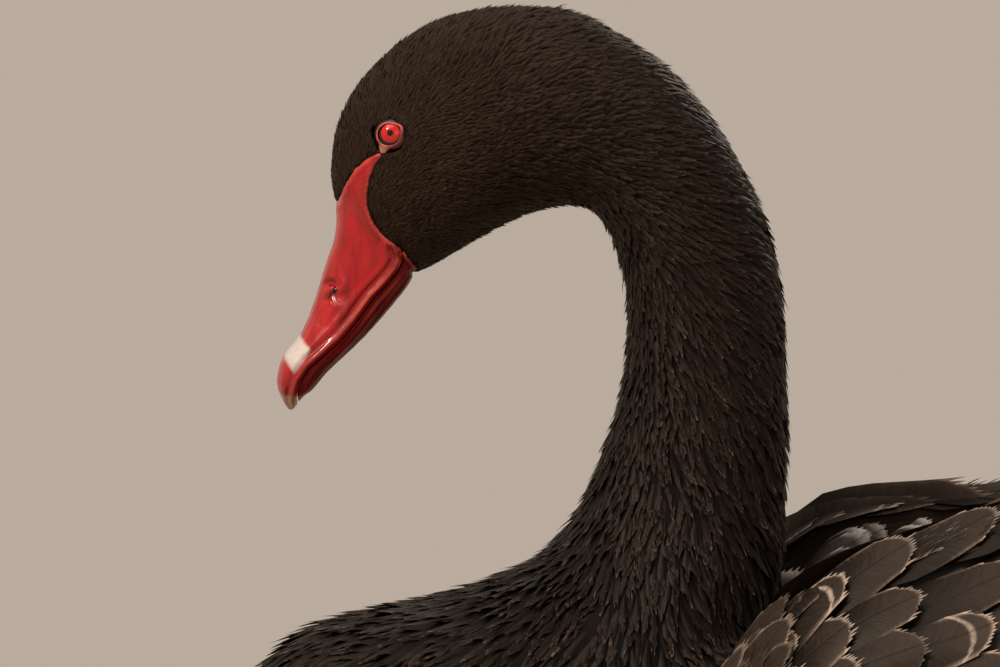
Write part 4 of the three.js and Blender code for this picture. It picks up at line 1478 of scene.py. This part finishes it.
def lid_ring(name, centre, axis):
    """Bare lids: a thin rim of skin with a point behind above, and a tail of skin down to the bill."""
    forward = Vector((-1, 0, 0))
    forward = (forward - axis * forward.dot(axis)).normalized()
    up = axis.cross(forward)
    if up.z < 0:
        up.negate()
    bpy.ops.mesh.primitive_torus_add(
        major_segments=96, minor_segments=16, major_radius=1, minor_radius=0.25,
    )
    ring = bpy.context.object
    ring.name = name
    at = corners(ring)
    turn = np.arctan2(at[:, 1], at[:, 0])
    outward = (np.hypot(at[:, 0], at[:, 1]) - 0.75) / 0.5
    nearness = lambda degrees, sharp: np.exp(sharp * (np.cos(turn - math.radians(degrees)) - 1))
    behind, below = nearness(148, 14), nearness(-64, 26)
    opening = 3.4 + 0.6 * behind + 0.45 * nearness(-20, 1.5)
    thick = 0.85 + 0.2 * behind + 2.1 * below + 0.8 * nearness(222, 4)
    ragged = 0.09 * np.sin(turn * 23 + 2 * np.sin(turn * 5)) * outward + 0.05 * np.sin(turn * 51) * outward
    radius = opening + outward * thick + ragged
    globe_depth = np.sqrt(np.maximum(6.15 ** 2 - np.minimum(radius, 5.0) ** 2, 0))
    settle = 0.35 * np.maximum(radius - 5.0, 0)
    lifted = globe_depth - settle + at[:, 2] / 0.25 * (0.36 - 0.1 * outward) + 0.18 * (1 - outward)
    plane = np.outer(np.cos(turn) * radius, np.array(forward))
    plane += np.outer(np.sin(turn) * radius, np.array(up))
    move_corners(ring, np.array(centre) + (plane + np.outer(lifted, np.array(axis))) * MM)
    note(ring, outward=outward, tail=below, corner=nearness(215, 3))
    edit_all(ring, bpy.ops.mesh.normals_make_consistent, inside=False)
    bpy.ops.object.shade_smooth()
    return ring


# %% Both eyes
lid_skin = Finish("lid_skin", roughness=0.5, coat_weight=0.15)
lid_hue = lid_skin.mix(lid_skin.noise(420.0).ramp(0.35, 0.7), (0.55, 0.10, 0.08), (0.30, 0.03, 0.025))
lid_tail = lid_skin.attribute("tail")
lid_edge = lid_skin.attribute("outward") + lid_skin.noise(700.0) * 0.3 - lid_tail * 0.6
lid_hue = lid_skin.mix(lid_edge.ramp(0.68, 0.95) * 0.95, lid_hue, (0.014, 0.007, 0.005))
lid_hue = lid_skin.mix(lid_tail.ramp(0.1, 0.8) * 0.9, lid_hue, (0.55, 0.20, 0.13))
lid_hue = lid_skin.mix(lid_skin.attribute("corner").ramp(0.15, 0.8) * 0.8, lid_hue, (0.11, 0.036, 0.026))
lid_skin.set(base_color=lid_hue, normal=lid_skin.bump(lid_skin.noise(1400.0), 0.12 * MM, 0.7))
for label, side in (("left", -1), ("right", 1)):
    centre, axis = EYES[label] + EYE_SHIFT, eye_axis(side)
    glass = eye_finish(f"eye_glass_{label}", centre, gaze(side))
    ball = wear(globe(f"eye_{label}", centre, gaze(side)), glass)
    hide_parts(f"{label}_eye")
    lid = wear(lid_ring(f"lid_{label}", centre, axis), lid_skin.material)

# %% [markdown]
# ## Legs and feet
#
# They are out of the photograph, folded under a bird at rest, so they keep the CAD shape with rounded
# edges, and the scales of a wet grey-black skin come from the finish.

# %% Feet
LEG_VOXEL = 0.9 * MM
scaly = Finish("leg_skin", coat_weight=0.15)
scales = scaly.node("ShaderNodeTexVoronoi", values={"Vector": scaly.place(), "Scale": 420.0})
scale_hue = scaly.mix(scaly.noise(90.0).ramp(0.3, 0.7), (0.018, 0.016, 0.016), (0.05, 0.042, 0.038))
scaly.set(base_color=scale_hue, roughness=0.4 + scales * 0.3, normal=scaly.bump(1 - scales, 0.3 * MM, 0.7))
for label in ("left", "right"):
    for part in ("leg", "foot"):
        piece = copy_of([f"{label}_{part}"], f"{part}_{label}")
        remesh(piece, LEG_VOXEL, 2)
        wear(piece, scaly.material)
        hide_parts(f"{label}_{part}")
        print(piece.name, len(piece.data.vertices), "corners")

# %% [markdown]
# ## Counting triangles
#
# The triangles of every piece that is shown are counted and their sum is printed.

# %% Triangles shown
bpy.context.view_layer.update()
total = 0
for piece in bpy.data.objects:
    if piece.type == "MESH" and not piece.hide_render:
        piece.data.calc_loop_triangles()
        total += len(piece.data.loop_triangles)
print(total, "triangles shown")
